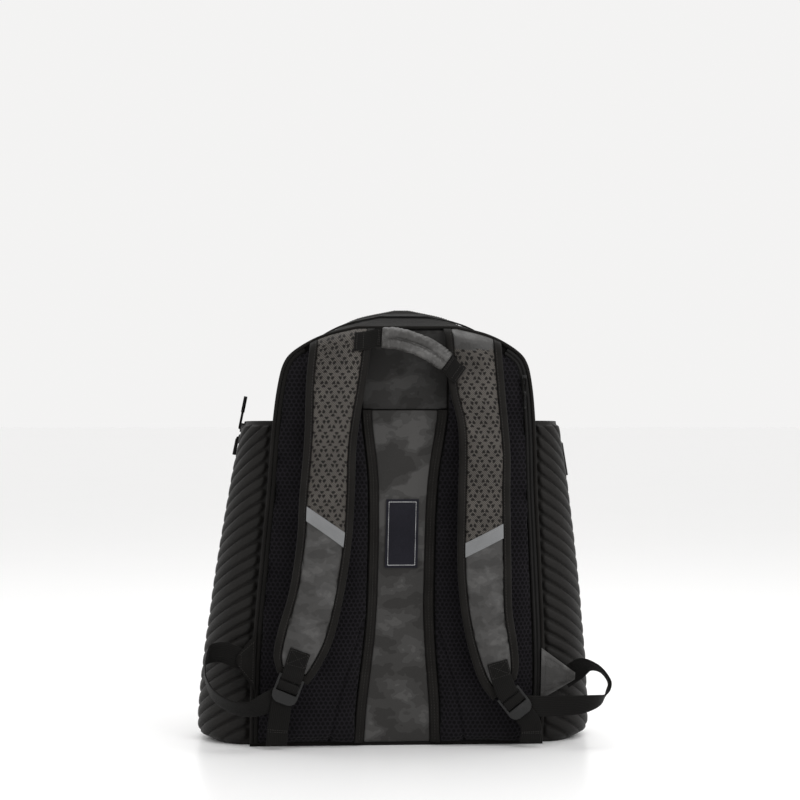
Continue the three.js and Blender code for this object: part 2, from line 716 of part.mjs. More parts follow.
// A band along a curve. Each stop has a place and the way that the band's width points
function ribbon(stops, width, thickness, stepsPerSpan = 3) {
  const curve = new THREE.CatmullRomCurve3(stops.map((s) => s.place), false, 'centripetal');
  const spans = stops.length - 1;
  const count = spans * stepsPerSpan;
  const sheet = (out) => Array.from({ length: count + 1 }, (_, i) => {
    const t = i / count;
    const span = Math.min(Math.floor(t * spans), spans - 1);
    const along = curve.getTangent(t);
    const wide = stops[span].wide.clone().lerp(stops[span + 1].wide, t * spans - span);
    const normal = new THREE.Vector3().crossVectors(along, wide).normalize();
    const across = new THREE.Vector3().crossVectors(normal, along).normalize();
    const middle = curve.getPoint(t).addScaledVector(normal, out * thickness);
    return [-0.5, 0.5].map((k) => middle.clone().addScaledVector(across, k * width));
  });
  return slab(sheet(0.5), sheet(-0.5));
}

const towards = (x, y, z) => new THREE.Vector3(x, y, z);
const stop = (place, wide) => ({ place, wide });

// The frame of a ladder lock: across it, up along the strap, and out from the bag
function lockFrame(name) {
  const { turn, drop, shift } = lockTable[name];
  const upward = towards(-Math.sin(turn), 0, Math.cos(turn));
  const outward = towards(0, -1, 0);
  const across = new THREE.Vector3().crossVectors(upward, outward);
  const stand = strapEdgeThickness + lockClearance + webbingThickness / 2 + webOut;
  const place = strapPoint(name, strapTables[name][0].up, 0.5, stand);
  place.addScaledVector(upward, -drop * lockTop).addScaledVector(across, shift * lockWidth);
  return new THREE.Matrix4().makeBasis(across, upward, outward).setPosition(place);
}

function lockPlace(name, up, out) {
  return towards(0, up, out).applyMatrix4(lockFrame(name));
}

function lockAcross(name) {
  return new THREE.Vector3().setFromMatrixColumn(lockFrame(name), 0);
}

function ladderLock() {
  const half = lockWidth / 2;
  const body = new THREE.Shape();
  body.moveTo(-half + lockCorner, lockTop);
  body.lineTo(half - lockCorner, lockTop);
  body.quadraticCurveTo(half, lockTop, half, lockTop - lockCorner);
  body.lineTo(half, -lockBottom);
  body.quadraticCurveTo(half - lockShoulder, -lockBottom - lockTab, 0, -lockBottom - lockTab);
  body.quadraticCurveTo(-half + lockShoulder, -lockBottom - lockTab, -half, -lockBottom);
  body.lineTo(-half, lockTop - lockCorner);
  body.quadraticCurveTo(-half, lockTop, -half + lockCorner, lockTop);
  const inner = half - lockRail;
  const slotTops = [lockTop - lockUpperBar, lockTop - lockUpperBar - lockSlot - lockMiddleBar];
  for (const top of slotTops) {
    const slot = new THREE.Path();
    slot.moveTo(-inner, top);
    slot.lineTo(-inner, top - lockSlot);
    slot.lineTo(inner, top - lockSlot);
    slot.lineTo(inner, top);
    slot.closePath();
    body.holes.push(slot);
  }
  const plate = new THREE.ExtrudeGeometry(body, { depth: lockThickness, bevelEnabled: false, curveSegments: 4 });
  return plate.translate(0, 0, -lockThickness / 2);
}

// Webbing sewn to a strap's end, down over the lock's upper bar and back behind it
function strapAnchor(name) {
  const wide = lockAcross(name);
  const low = strapTables[name][0].up;
  const onStrap = (up) => strapPoint(name, up, 0.5, strapThickness + trimGap + webbingThickness / 2);
  const bar = lockTop - lockUpperBar;
  return ribbon([
    stop(onStrap(low + 0.068), wide),
    stop(onStrap(low + 0.048), wide),
    stop(onStrap(low + 0.028), wide),
    stop(lockPlace(name, lockTop + 1.5, webOut + 0.4), wide),
    stop(lockPlace(name, bar + 2, webOut + 0.3), wide),
    stop(lockPlace(name, bar - 0.3, webOut), wide),
    stop(lockPlace(name, bar - 1.4, 1), wide),
    stop(lockPlace(name, bar - 1.4, -1), wide),
    stop(lockPlace(name, bar - 0.3, -webOut), wide),
    stop(lockPlace(name, lockTop, -webOut - 0.2), wide),
  ], webbingWidth, webbingThickness);
}

function routeStops(route) {
  return route.map((r) => (
    stop(at(r.out * backHalfWidth, -r.stand * strapStand, r.up * bagHeight), towards(r.wx, r.wy, r.wz))
  ));
}

// Where the adjuster lies behind the side tab's tip
function rootStops(name) {
  const side = name === 'left' ? -1 : 1;
  const { tipOut, tipUp } = tabTable[name];
  const y = tabBack + pipingRadius + trimGap + webbingThickness / 2;
  return rootTables[name].map((r) => {
    const x = side * (tipOut * backHalfWidth - r.inward * webbingWidth);
    return stop(at(x, y, tipUp * bagHeight + r.rise * webbingWidth), towards(r.wx, r.wy, r.wz));
  });
}

// From the side tab, out in a free loop, through the lock and down to the free end
function adjuster(name) {
  const wide = lockAcross(name);
  const upperSlot = lockTop - lockUpperBar - lockSlot;
  const lowerSlot = upperSlot - lockMiddleBar;
  const behind = webOut + webbingThickness + 2 * gap;
  return ribbon([
    ...rootStops(name),
    ...routeStops(loopTables[name]),
    stop(lockPlace(name, lowerSlot - 3, -behind - 0.6), wide),
    stop(lockPlace(name, upperSlot - 1, -behind + 0.4), wide),
    stop(lockPlace(name, upperSlot + 1.3, -1.8), wide),
    stop(lockPlace(name, upperSlot + 1.4, 1.6), wide),
    stop(lockPlace(name, upperSlot - 0.4, webOut + 0.5), wide),
    stop(lockPlace(name, lowerSlot + 0.4, webOut + 0.5), wide),
    stop(lockPlace(name, lowerSlot - 1.7, 1.6), wide),
    stop(lockPlace(name, lowerSlot - 2.9, -1.6), wide),
    stop(lockPlace(name, lowerSlot - lockSlot - 0.7, -webOut - 0.3), wide),
    stop(lockPlace(name, -lockBottom - lockTab, -webOut - 0.2), wide),
    ...routeStops(tailTables[name]),
  ], webbingWidth, webbingThickness, 2);
}

// A folded triangle of cloth at the foot of the seam, which holds the adjuster
function sideTab(name) {
  const side = name === 'left' ? -1 : 1;
  const { high, low, tipOut, tipUp } = tabTable[name];
  const seam = side * (backHalfWidth - pipingRoom);
  const tip = side * tipOut * backHalfWidth;
  const corners = (y) => [
    [at(seam, y, high * bagHeight), at(seam, y, low * bagHeight)],
    [-1, 1].map((end) => at(tip, y + pipingRadius, tipUp * bagHeight - end * tabTipHalf)),
  ];
  return slab(corners(tabBack - tabThickness), corners(tabBack));
}

const handleSpine = new THREE.CatmullRomCurve3(
  handleTable.map((r) => at(r.out * backHalfWidth, -r.stand * strapStand, r.up * bagHeight)),
);

// The grab handle: two gathered rolls side by side, drooping to the right
function grabHandle() {
  const sides = 7;
  const steps = 9;
  const wrap = 4.6; // radians of each roll that show
  const rollSpread = 0.87; // the rolls' centres stand apart by this share of their thickness
  const rings = Array.from({ length: steps + 1 }, (_, i) => {
    const middle = handleSpine.getPoint(i / steps);
    const along = handleSpine.getTangent(i / steps);
    const out = towards(0, -1, 0);
    const wide = new THREE.Vector3().crossVectors(out, along).normalize();
    const pinch = i === 0 || i === steps ? handleEndPinch : 0;
    const radius = (handleRoll / 2) * (1 - handleGather * (i % 2) - pinch);
    const lobe = (sign) => Array.from({ length: sides }, (_, k) => {
      const turn = sign * wrap * (k / (sides - 1) - 0.5);
      const offset = sign * ((rollSpread * handleRoll) / 2 + radius * Math.cos(turn));
      return middle.clone().addScaledVector(wide, offset).addScaledVector(out, radius * Math.sin(turn));
    });
    return [...lobe(1), ...lobe(-1)];
  });
  return tube(rings);
}

// A webbing tab from a strap's inner edge to one end of the handle
function handleTab(name) {
  const start = name === 'left' ? 0 : 1;
  const along = handleSpine.getTangent(start).multiplyScalar(start ? 1 : -1);
  const wide = new THREE.Vector3().crossVectors(along, towards(0, start ? 1 : -1, 0)).normalize();
  const half = handleTabWidth / 2 / bagHeight;
  const ends = [trimGap, handleTabWidth / 4].map((far) => (
    stop(handleSpine.getPoint(start).addScaledVector(along, far), wide)
  ));
  const seats = handleSeats[name].map(({ up, across }) => {
    const onStrap = (rise) => (
      strapPoint(name, up + rise, across, strapFace(across + 0.05) + trimGap + tabThickness / 2)
    );
    const slope = onStrap(half).sub(onStrap(-half));
    return stop(onStrap(0), wide.clone().setY((wide.z * slope.y) / slope.z));
  });
  const stops = [...ends, ...seats];
  const sheet = (out) => stops.map((s, i) => {
    const before = stops[Math.max(i - 1, 0)].place;
    const run = stops[Math.min(i + 1, stops.length - 1)].place.clone().sub(before);
    const normal = new THREE.Vector3().crossVectors(run, s.wide).normalize().multiplyScalar(out * tabThickness);
    return [-0.5, 0.5].map((k) => s.place.clone().add(normal).addScaledVector(s.wide, k * handleTabWidth));
  });
  return slab(sheet(0.5), sheet(-0.5));
}

// A zip slider with its pull hanging from it
function zipPull(length) {
  const slider = new THREE.BoxGeometry(sliderWidth, sliderThickness, sliderLength);
  const pull = new THREE.BoxGeometry(pullWidth, pullThickness, length);
  pull.translate(0, -sliderThickness / 2, -sliderLength / 2 - length / 2 + pullWidth);
  return geometryOf(solid(slider).add(solid(pull)));
}

// Where each zip pull sits: its frame has across, into the bag, and up along the zip
function pullFrame(place, upward, outward) {
  const across = new THREE.Vector3().crossVectors(upward, outward).normalize();
  const inward = outward.clone().negate();
  return new THREE.Matrix4().makeBasis(across, inward, upward).setPosition(place);
}

function sleevePullFrame(side, z, way) {
  const out = sleeveZipThickness + gap + sliderThickness / 2;
  const place = sleevePoint(side, z, sleeveZipAngle, out);
  const upward = sleevePoint(side, z + sliderLength, sleeveZipAngle, out).sub(place).normalize();
  const round = sleevePoint(side, z, sleeveZipAngle + sleeveZipSpread, out).sub(place).normalize();
  const outward = new THREE.Vector3().crossVectors(round, upward).multiplyScalar(side).normalize();
  return pullFrame(place, upward.multiplyScalar(way), outward);
}

function pullPlaces() {
  const up = towards(0, 0, 1);
  const strip = backEdge(pipingRoom + zipStripWidth / 2).find((p) => p.up > mainZipLow);
  const stripFace = -2 * gap - edgeStripThickness - sliderThickness / 2;
  const [zipEnd, zipNext] = outline(mainZipPlace).reverse().filter((p) => p.up > mainZipLow);
  const zipUp = at(zipNext.x - zipEnd.x, 0, zipNext.z - zipEnd.z).normalize();
  const zipOut = new THREE.Vector3().crossVectors(towards(0, 1, 0), zipUp);
  const zipSeat = at(zipEnd.x, bodyY(zipEnd.up, mainZipPlace), zipEnd.z);
  zipSeat.addScaledVector(zipOut, 2 * trimGap + mainZipThickness + sliderThickness / 2);
  const stripFrame = pullFrame(at(strip.x, stripFace, strip.z), up, towards(0, -1, 0));
  return [
    ...sleevePulls.map(({ name, side, drop, way, long }) => (
      { name, frame: sleevePullFrame(side, sleeveTop - drop * sliderLength, way), length: long * hangingPull }
    )),
    { name: 'back_zip_pull', frame: stripFrame, length: hangingPull },
    { name: 'main_zip_pull', frame: pullFrame(zipSeat, zipUp, zipOut), length: hangingPull },
  ];
}

function cloth(colour, roughness = 0.85) {
  return new THREE.MeshStandardMaterial({ color: colour, roughness, metalness: 0 });
}

const black = 0x1c1a1a;
const meshBlack = 0x1f1c20;
const camouflage = 0x434040;
const printed = 0x59524e;
const silver = 0x9a9ba0;
const plastic = 0x141414;

const group = new THREE.Group();
const bag = new THREE.Group();
group.add(bag);

function piece(name, geometry, material, parent = bag) {
  const mesh = new THREE.Mesh(geometry, material);
  mesh.name = name;
  parent.add(mesh);
  return mesh;
}

const body = bodyFill();
piece('back_board', backBoard(), cloth(black));
piece('base_panel', basePanel(), cloth(black));
piece('side_gusset', gusset(), cloth(black));
piece('front_shell', frontShell(), cloth(black));
piece('front_welt', frontWelt(), cloth(black));
piece('back_piping', backPiping(), cloth(black));
piece('main_zip', mainZip(), cloth(black, 0.6));
piece('channel_panel', channelPanel(), cloth(camouflage, 0.6));
piece('yoke_panel', yokePanel(), cloth(camouflage, 0.6));

const patch = new THREE.BoxGeometry(patchWidth, patchThickness, patchHeight);
const patchFace = -2 * gap - channelThickness - patchThickness / 2;
piece('patch', patch, cloth(0x2b2a30)).position.copy(at(0, patchFace, patchMiddle));

piece('grab_handle', grabHandle(), cloth(camouflage, 0.6));

for (const [name, side] of [['left', -1], ['right', 1]]) {
  const strip = side < 0 ? edgeStripWidth : zipStripWidth;
  piece(`edge_strip_${name}`, edgeStrip(side, strip), cloth(black));
  piece(`back_pad_${name}`, backPad(side, strip), cloth(meshBlack, 0.95));
  piece(`channel_tape_${name}`, channelTape(side), cloth(black));
  piece(`bat_sleeve_${name}`, batSleeve(side, body), cloth(black, 0.7));
  piece(`sleeve_zip_${name}`, sleeveStrip(side, sleeveZipSpread, 0, sleeveZipThickness), cloth(black, 0.6));
  piece(`strap_${name}`, strapCore(name), cloth(printed));
  piece(`strap_edge_${name}`, strapEdge(name), cloth(black));
  piece(`reflector_${name}`, reflector(name), cloth(silver, 0.4));
  piece(`strap_anchor_${name}`, strapAnchor(name), cloth(black));
  piece(`adjuster_${name}`, adjuster(name), cloth(black));
  piece(`side_tab_${name}`, sideTab(name), cloth(camouflage, 0.6));
  piece(`handle_tab_${name}`, handleTab(name), cloth(black));
  const lock = piece(`ladder_lock_${name}`, ladderLock(), cloth(plastic, 0.45));
  lock.applyMatrix4(lockFrame(name));
}

for (const { name, frame, length } of pullPlaces()) {
  piece(name, zipPull(length), cloth(plastic, 0.5)).applyMatrix4(frame);
}

// The origin is on the floor under the middle of the bag
const box = new THREE.Box3().setFromObject(group, true);
bag.position.set(-(box.min.x + box.max.x) / 2, -(box.min.y + box.max.y) / 2, -box.min.z);

export default group;
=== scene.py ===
# A baseball bat backpack that stands on a pale floor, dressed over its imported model.
# Places are worked out in millimetres of the upright bag, then leaned and moved into the frame.
import math

import bmesh
import bpy
from mathutils import Matrix, Vector, noise


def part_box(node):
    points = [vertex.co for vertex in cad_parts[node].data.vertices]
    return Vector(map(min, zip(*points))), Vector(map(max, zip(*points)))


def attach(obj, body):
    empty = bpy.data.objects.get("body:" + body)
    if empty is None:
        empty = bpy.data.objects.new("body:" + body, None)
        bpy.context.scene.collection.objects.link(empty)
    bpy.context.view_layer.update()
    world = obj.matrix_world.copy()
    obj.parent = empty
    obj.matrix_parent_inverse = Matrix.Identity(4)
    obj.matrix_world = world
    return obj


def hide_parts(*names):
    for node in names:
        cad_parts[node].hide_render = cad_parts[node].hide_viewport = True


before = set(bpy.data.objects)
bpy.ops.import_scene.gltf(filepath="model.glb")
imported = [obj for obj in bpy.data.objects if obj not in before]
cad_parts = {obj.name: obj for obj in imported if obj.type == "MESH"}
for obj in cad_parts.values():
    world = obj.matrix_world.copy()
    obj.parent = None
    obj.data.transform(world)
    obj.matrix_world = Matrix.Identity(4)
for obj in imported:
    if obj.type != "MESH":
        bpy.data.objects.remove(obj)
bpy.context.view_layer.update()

scene = bpy.context.scene
scene.view_settings.view_transform = "Standard"
bpy.ops.object.select_all(action="DESELECT")
print("frame loaded:", len(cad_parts), "nodes")

# The bag's sizes, as its solids have them
bag = {
    "height": 503.0, "crest": 524.0, "backHalf": 176.0, "frontHalf": 146.0, "depth": 150.0,
    "frontBulge": 34.0, "lean": 12.0, "board": 5.0, "wall": 2.5, "base": 4.0, "dent": 9.0,
    "welt": 4.5, "piping": 2.2, "gap": 0.3, "foot": 4.3,
}
patchMiddle = 254.0
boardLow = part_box("back_board")[0]
patchLow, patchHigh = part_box("patch")
offX = 500 * (patchLow.x + patchHigh.x) - bag["lean"] * patchMiddle / bag["height"]
offY = 1000 * boardLow.y


def place(x, y, z):
    return Vector((x + bag["lean"] * z / bag["height"] + offX, y + offY, z)) * 0.001


bodyTable = {
    "up": [0, 0.2, 0.45, 0.6, 0.767, 0.875, 0.924, 0.954, 0.982, 1],
    "back": [1, 1, 0.955, 0.924, 0.898, 0.861, 0.812, 0.71, 0.545, 0.34],
    "front": [0.96, 1, 1, 0.985, 0.94, 0.85, 0.71, 0.56, 0.36, 0.06],
    "depth": [1, 1, 0.97, 0.93, 0.86, 0.8, 0.77, 0.75, 0.73, 0.72],
}
channelTable = {
    "up": [0, 0.1, 0.257, 0.36, 0.62, 0.775, 0.81],
    "half": [1.01, 0.95, 0.765, 0.71, 0.75, 0.985, 1.01],
}
sleeveTable = {
    "up": [0, 0.014, 0.04, 0.171, 0.288, 0.388, 0.477, 0.616, 0.771, 0.85, 0.95],
    "reach": [0.935, 0.985, 1, 0.985, 0.958, 0.933, 0.907, 0.863, 0.804, 0.775, 0.738],
}
strapTables = {
    "left": {
        "up": [0.167, 0.205, 0.268, 0.37, 0.497, 0.596, 0.729, 0.861, 0.94, 0.976],
        "outer": [0.824, 0.853, 0.827, 0.758, 0.715, 0.706, 0.682, 0.678, 0.665, 0.658],
        "inner": [0.618, 0.549, 0.461, 0.393, 0.347, 0.336, 0.328, 0.276, 0.244, 0.216],
        "rise": [0.404, 0.492, 0.638, 0.842, 1, 1, 0.755, 0.375, 0.13, 0.02],
        "tilt": [0.6, 0.72, 0.56, 0.24, 0, 0, 0, 0, 0, 0],
    },
    "right": {
        "up": [0.138, 0.172, 0.233, 0.318, 0.423, 0.596, 0.698, 0.771, 0.842, 0.94, 0.976],
        "outer": [0.793, 0.805, 0.786, 0.746, 0.731, 0.71, 0.707, 0.689, 0.669, 0.645, 0.642],
        "inner": [0.635, 0.555, 0.475, 0.407, 0.367, 0.358, 0.36, 0.347, 0.295, 0.261, 0.25],
        "rise": [0.375, 0.462, 0.638, 0.813, 0.93, 1, 0.813, 0.609, 0.404, 0.13, 0.02],
        "tilt": [1.04, 1, 0.72, 0.32, 0, 0, 0, 0, 0, 0, 0],
    },
}


def clamp(value, low=0.0, high=1.0):
    return max(low, min(high, value))


def lerp(a, b, t):
    return a + (b - a) * t


def smooth(t):
    t = clamp(t)
    return t * t * (3 - 2 * t)


def read(table, name, at):
    ups, values = table["up"], table[name]
    last = len(ups) - 1
    i = 0
    while i < last - 1 and at > ups[i + 1]:
        i += 1
    span = ups[i + 1] - ups[i]
    t = clamp((at - ups[i]) / span)
    before, after = max(i - 1, 0), min(i + 2, last)
    enter = (values[i + 1] - values[before]) / (ups[i + 1] - ups[before]) * span
    leave = (values[after] - values[i]) / (ups[after] - ups[i]) * span
    t2, t3 = t * t, t ** 3
    start = (2 * t3 - 3 * t2 + 1) * values[i] + (t3 - 2 * t2 + t) * enter
    return start + (3 * t2 - 2 * t3) * values[i + 1] + (t3 - t2) * leave


def soft(x, y, z, size, seed=0.0):  # a smooth random value from -1 to 1
    return noise.noise(Vector((x / size + seed, y / size - seed, z / size + 0.7 * seed)))


# Camera and light
view = {"lens": 90.0, "turn": math.radians(3.4), "away": 2.4, "target": (-0.0021, 0.414)}
cameraData = bpy.data.cameras.new("camera")
cameraData.lens = view["lens"]
cameraData.sensor_width = 36.0
cameraData.clip_end = 30.0
camera = bpy.data.objects.new("camera", cameraData)
scene.collection.objects.link(camera)
camera.location = (
    view["target"][0] - view["away"] * math.sin(view["turn"]),
    0.001 * offY - view["away"] * math.cos(view["turn"]),
    view["target"][1],
)
camera.rotation_euler = (math.radians(90), 0, -view["turn"])
scene.camera = camera

studio = {"world": 0.9, "floor": 0.95, "key": 24.0, "fill": 3.0, "top": 22.0}
world = bpy.data.worlds.new("studio")
world.use_nodes = True
world.node_tree.nodes["Background"].inputs["Color"].default_value = (1.0, 0.995, 0.99, 1)
world.node_tree.nodes["Background"].inputs["Strength"].default_value = studio["world"]
scene.world = world


def softbox(name, power, size, spot, aim=(0, 0, 0.3)):
    data = bpy.data.lights.new(name, "AREA")
    data.energy = power
    data.shape = "RECTANGLE"
    data.size, data.size_y = size
    light = bpy.data.objects.new(name, data)
    scene.collection.objects.link(light)
    light.location = spot
    light.rotation_euler = (Vector(aim) - Vector(spot)).to_track_quat("-Z", "Y").to_euler()
    return light


softbox("keyLight", studio["key"], (1.2, 1.6), (1.5, -1.7, 1.7))
softbox("fillLight", studio["fill"], (1.6, 1.6), (-2.0, -1.4, 1.2))
softbox("topLight", studio["top"], (2.2, 1.6), (0.1, 0.1, 2.4), (0, 0, 0))

bpy.ops.mesh.primitive_plane_add(size=60, location=(0, 0, 0))
floor = bpy.context.object
floor.name = "floor"
bpy.ops.object.select_all(action="DESELECT")


# Meshes from grids of points in millimetres


def newPiece(name, points, faces, uvs, material, flip=True):
    mesh = bpy.data.meshes.new(name)
    mesh.from_pydata([p[:] for p in points], [], faces)
    layer = mesh.uv_layers.new(name="flow")
    for loop in mesh.loops:
        layer.data[loop.index].uv = uvs[loop.vertex_index]
    piece = bpy.data.objects.new(name, mesh)
    scene.collection.objects.link(piece)
    if flip:
        work = bmesh.new()
        work.from_mesh(mesh)
        if work.calc_volume(signed=True) < 0:
            bmesh.ops.reverse_faces(work, faces=work.faces)
        work.to_mesh(mesh)
        work.free()
    mesh.polygons.foreach_set("use_smooth", [True] * len(mesh.polygons))
    if material:
        mesh.materials.append(material)
    return piece


def gridFaces(rows, columns, start=0, turned=False, closed=False):
    faces = []
    across = columns if closed else columns - 1
    for r in range(rows - 1):
        for c in range(across):
            d = (c + 1) % columns
            quad = (start + r * columns + c, start + r * columns + d,
                    start + (r + 1) * columns + d, start + (r + 1) * columns + c)
            faces.append(quad[::-1] if turned else quad)
    return faces


def slab(name, front, back, uv, material, put=place):
    rows, columns = len(front), len(front[0])
    points = [put(*p) for row in front + back for p in row]
    uvs = [t for row in uv for t in row] * 2
    far = rows * columns
    faces = gridFaces(rows, columns) + gridFaces(rows, columns, far, True)
    rim = [r * columns for r in range(rows)]
    rim += [(rows - 1) * columns + c for c in range(1, columns)]
    rim += [r * columns + columns - 1 for r in range(rows - 2, -1, -1)]
    rim += list(range(columns - 2, 0, -1))
    for i, a in enumerate(rim):
        b = rim[(i + 1) % len(rim)]
        faces.append((a, b, b + far, a + far))
    return newPiece(name, points, faces, uvs, material)


def tube(name, rings, uv, material, put=place):
    rows, columns = len(rings), len(rings[0])
    points = [put(*p) for ring in rings for p in ring]
    uvs = [t for row in uv for t in row]
    faces = gridFaces(rows, columns, 0, False, True)
    for r, turned in ((0, True), (rows - 1, False)):
        ring = list(range(r * columns, (r + 1) * columns))
        faces.append(tuple(ring[::-1] if turned else ring))
    return newPiece(name, points, faces, uvs, material)


def finish(piece, nodes, angle=None):
    if angle:
        bpy.ops.object.select_all(action="DESELECT")
        piece.select_set(True)
        bpy.context.view_layer.objects.active = piece
        bpy.ops.object.shade_smooth_by_angle(angle=math.radians(angle))
        piece.select_set(False)
    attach(piece, "root")
    if nodes:
        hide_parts(*nodes)
    return piece


def along(line, index):  # unit step of a list of points at one of them
    a, b = line[max(index - 1, 0)], line[min(index + 1, len(line) - 1)]
    step = [q - p for p, q in zip(a, b)]
    length = math.sqrt(sum(s * s for s in step)) or 1.0
    return [s / length for s in step]


def lengths(line):  # distance along a list of points, at each
    run = [0.0]
    for a, b in zip(line, line[1:]):
        run.append(run[-1] + math.dist(a, b))
    return run


def resample(line, step):  # the same line with points an even step apart
    run = lengths(line)
    count = max(2, round(run[-1] / step))
    out, i = [], 0
    for k in range(count + 1):
        at = run[-1] * k / count
        while i < len(run) - 2 and run[i + 1] < at:
            i += 1
        t = (at - run[i]) / max(run[i + 1] - run[i], 1e-9)
        out.append(tuple(lerp(p, q, t) for p, q in zip(line[i], line[i + 1])))
    return out


# Stitches: short rounded dashes laid along a line of points that lie on a surface


def stitches(name, lines, material, length=2.6, room=1.0, thick=0.42, proud=0.25,
             put=place):
    points, faces, uvs = [], [], []
    for line, outward in lines:
        run = resample([tuple(p) for p in line], length + room)
        for i in range(len(run) - 1):
            a, b = Vector(run[i]), Vector(run[i + 1])
            step = (b - a).normalized()
            out = Vector(outward(run[i]) if callable(outward) else outward).normalized()
            side = step.cross(out).normalized() * thick
            out = out * proud
            start = a + step * room * 0.5
            end = b - step * room * 0.5
            base = len(points)
            for p, s, h in ((start, 0.5, -1), (lerp(start, end, 0.25), 1, 1),
                            (lerp(start, end, 0.75), 1, 1), (end, 0.5, -1)):
                points += [put(*(p + side * s - out)), put(*(p + out * h)), put(*(p - side * s - out))]
                uvs += [(0.0, 0.0)] * 3
            for k in range(3):
                for c in range(3):
                    d = (c + 1) % 3
                    low, high = base + 3 * k, base + 3 * k + 3
                    faces.append((low + c, low + d, high + d, high + c))
            faces.append((base + 2, base + 1, base))
            faces.append((base + 9, base + 10, base + 11))
    mesh = newPiece(name, points, faces, uvs, material, flip=False)
    work = bmesh.new()
    work.from_mesh(mesh.data)
    bmesh.ops.recalc_face_normals(work, faces=work.faces)
    work.to_mesh(mesh.data)
    work.free()
    return finish(mesh, ())


# Shader nodes. The flow map of each piece holds millimetres along the cloth.


def node(tree, kind, inputs=None, **settings):
    made = tree.nodes.new(kind)
    for key, value in settings.items():
        setattr(made, key, value)
    for key, value in (inputs or {}).items():
        if isinstance(value, bpy.types.NodeSocket):
            tree.links.new(value, made.inputs[key])
        else:
            made.inputs[key].default_value = value
    return made


def calc(tree, operation, *values):
    made = node(tree, "ShaderNodeMath", dict(enumerate(values)), operation=operation)
    return made.outputs[0]


def vector(tree, operation, *values):
    made = node(tree, "ShaderNodeVectorMath", dict(enumerate(values)), operation=operation)
    return made.outputs["Value" if operation in ("LENGTH", "DOT_PRODUCT") else "Vector"]


def split(tree, socket):
    return node(tree, "ShaderNodeSeparateXYZ", {0: socket}).outputs


def band(tree, value, low, high):  # 0 below low, 1 above high, smooth between
    made = node(tree, "ShaderNodeMapRange", {"Value": value, "From Min": low, "From Max": high})
    made.interpolation_type = "SMOOTHSTEP"
    return made.outputs[0]


def mixed(tree, share, first, second):
    return node(tree, "ShaderNodeMix", {0: share, 6: first, 7: second}, data_type="RGBA").outputs[2]


def group(name, inputs, outputs):
    tree = bpy.data.node_groups.new(name, "ShaderNodeTree")
    for label, kind, value in inputs:
        made = tree.interface.new_socket(name=label, in_out="INPUT", socket_type="NodeSocket" + kind)
        if value is not None:
            made.default_value = value
    for label in outputs:
        tree.interface.new_socket(name=label, in_out="OUTPUT", socket_type="NodeSocketFloat")
    start = tree.nodes.new("NodeGroupInput")
    end = tree.nodes.new("NodeGroupOutput")
    return tree, start.outputs, lambda label, socket: tree.links.new(socket, end.inputs[label])


# Threads over and under each other, Slant turns it to a twill
weave, given, put = group("clothWeave", [("Vector", "Vector", None), ("Pitch", "Float", 1.2),
                                         ("Slant", "Float", 0.0)], ["Height"])
x, y, z = split(weave, given["Vector"])
turns = calc(weave, "DIVIDE", 2 * math.pi, given["Pitch"])
u = calc(weave, "MULTIPLY", x, turns)
v = calc(weave, "MULTIPLY", y, turns)
plain = calc(weave, "MULTIPLY", calc(weave, "SINE", u), calc(weave, "SINE", v))
twill = calc(weave, "SINE", calc(weave, "ADD", u, v))
blended = calc(weave, "ADD", calc(weave, "MULTIPLY", plain, calc(weave, "SUBTRACT", 1.0, given["Slant"])),
               calc(weave, "MULTIPLY", twill, given["Slant"]))
put("Height", calc(weave, "MULTIPLY_ADD", blended, 0.5, 0.5))

# Six-sided cells, Edge is 1 on the walls between them
cells, given, put = group("meshCells", [("Vector", "Vector", None), ("Pitch", "Float", 6.0),
                                        ("Wall", "Float", 0.13)], ["Edge"])
scaled = vector(cells, "DIVIDE", given["Vector"], node(cells, "ShaderNodeCombineXYZ", {
    0: given["Pitch"], 1: calc(cells, "MULTIPLY", given["Pitch"], math.sqrt(3)), 2: 1000.0}).outputs[0])
offsets = []
for shift in (0.0, 0.5):
    turned = vector(cells, "FRACTION", vector(cells, "ADD", scaled, (shift, shift, 0)))
    local = vector(cells, "MULTIPLY", vector(cells, "SUBTRACT", turned, (0.5, 0.5, 0)), (1, math.sqrt(3), 0))
    offsets.append((local, vector(cells, "LENGTH", local)))
nearer = calc(cells, "LESS_THAN", offsets[0][1], offsets[1][1])
local = node(cells, "ShaderNodeMix", {0: nearer, 4: offsets[1][0], 5: offsets[0][0]},
             data_type="VECTOR").outputs[1]
local = vector(cells, "ABSOLUTE", local)
reach = calc(cells, "MAXIMUM", split(cells, local)[0], vector(cells, "DOT_PRODUCT", local, (0.5, 0.866, 0)))
wallStart = calc(cells, "SUBTRACT", 0.5, calc(cells, "MULTIPLY", given["Wall"], 2.0))
put("Edge", band(cells, reach, wallStart, 0.5))

# Staggered marks of three small wedges
wedges, given, put = group("wedgePrint", [("Vector", "Vector", None), ("Pitch", "Float", 9.0)], ["Mask"])
x, y, z = split(wedges, vector(wedges, "DIVIDE", given["Vector"], node(
    wedges, "ShaderNodeCombineXYZ", {0: given["Pitch"], 1: given["Pitch"], 2: 1000.0}).outputs[0]))
rowShare = 1.55  # rows in one pitch
row = calc(wedges, "FLOOR", calc(wedges, "MULTIPLY", y, rowShare))
odd = calc(wedges, "FLOORED_MODULO", row, 2.0)
across = calc(wedges, "SUBTRACT", calc(wedges, "FRACT", calc(wedges, "MULTIPLY_ADD", odd, 0.5, x)), 0.5)
rise = calc(wedges, "SUBTRACT", calc(wedges, "FRACT", calc(wedges, "MULTIPLY", y, rowShare)), 0.5)
rise = calc(wedges, "DIVIDE", rise, rowShare)
away = calc(wedges, "SQRT", calc(wedges, "ADD", calc(wedges, "POWER", calc(wedges, "ABSOLUTE", across), 2.0),
                                calc(wedges, "POWER", calc(wedges, "ABSOLUTE", rise), 2.0)))
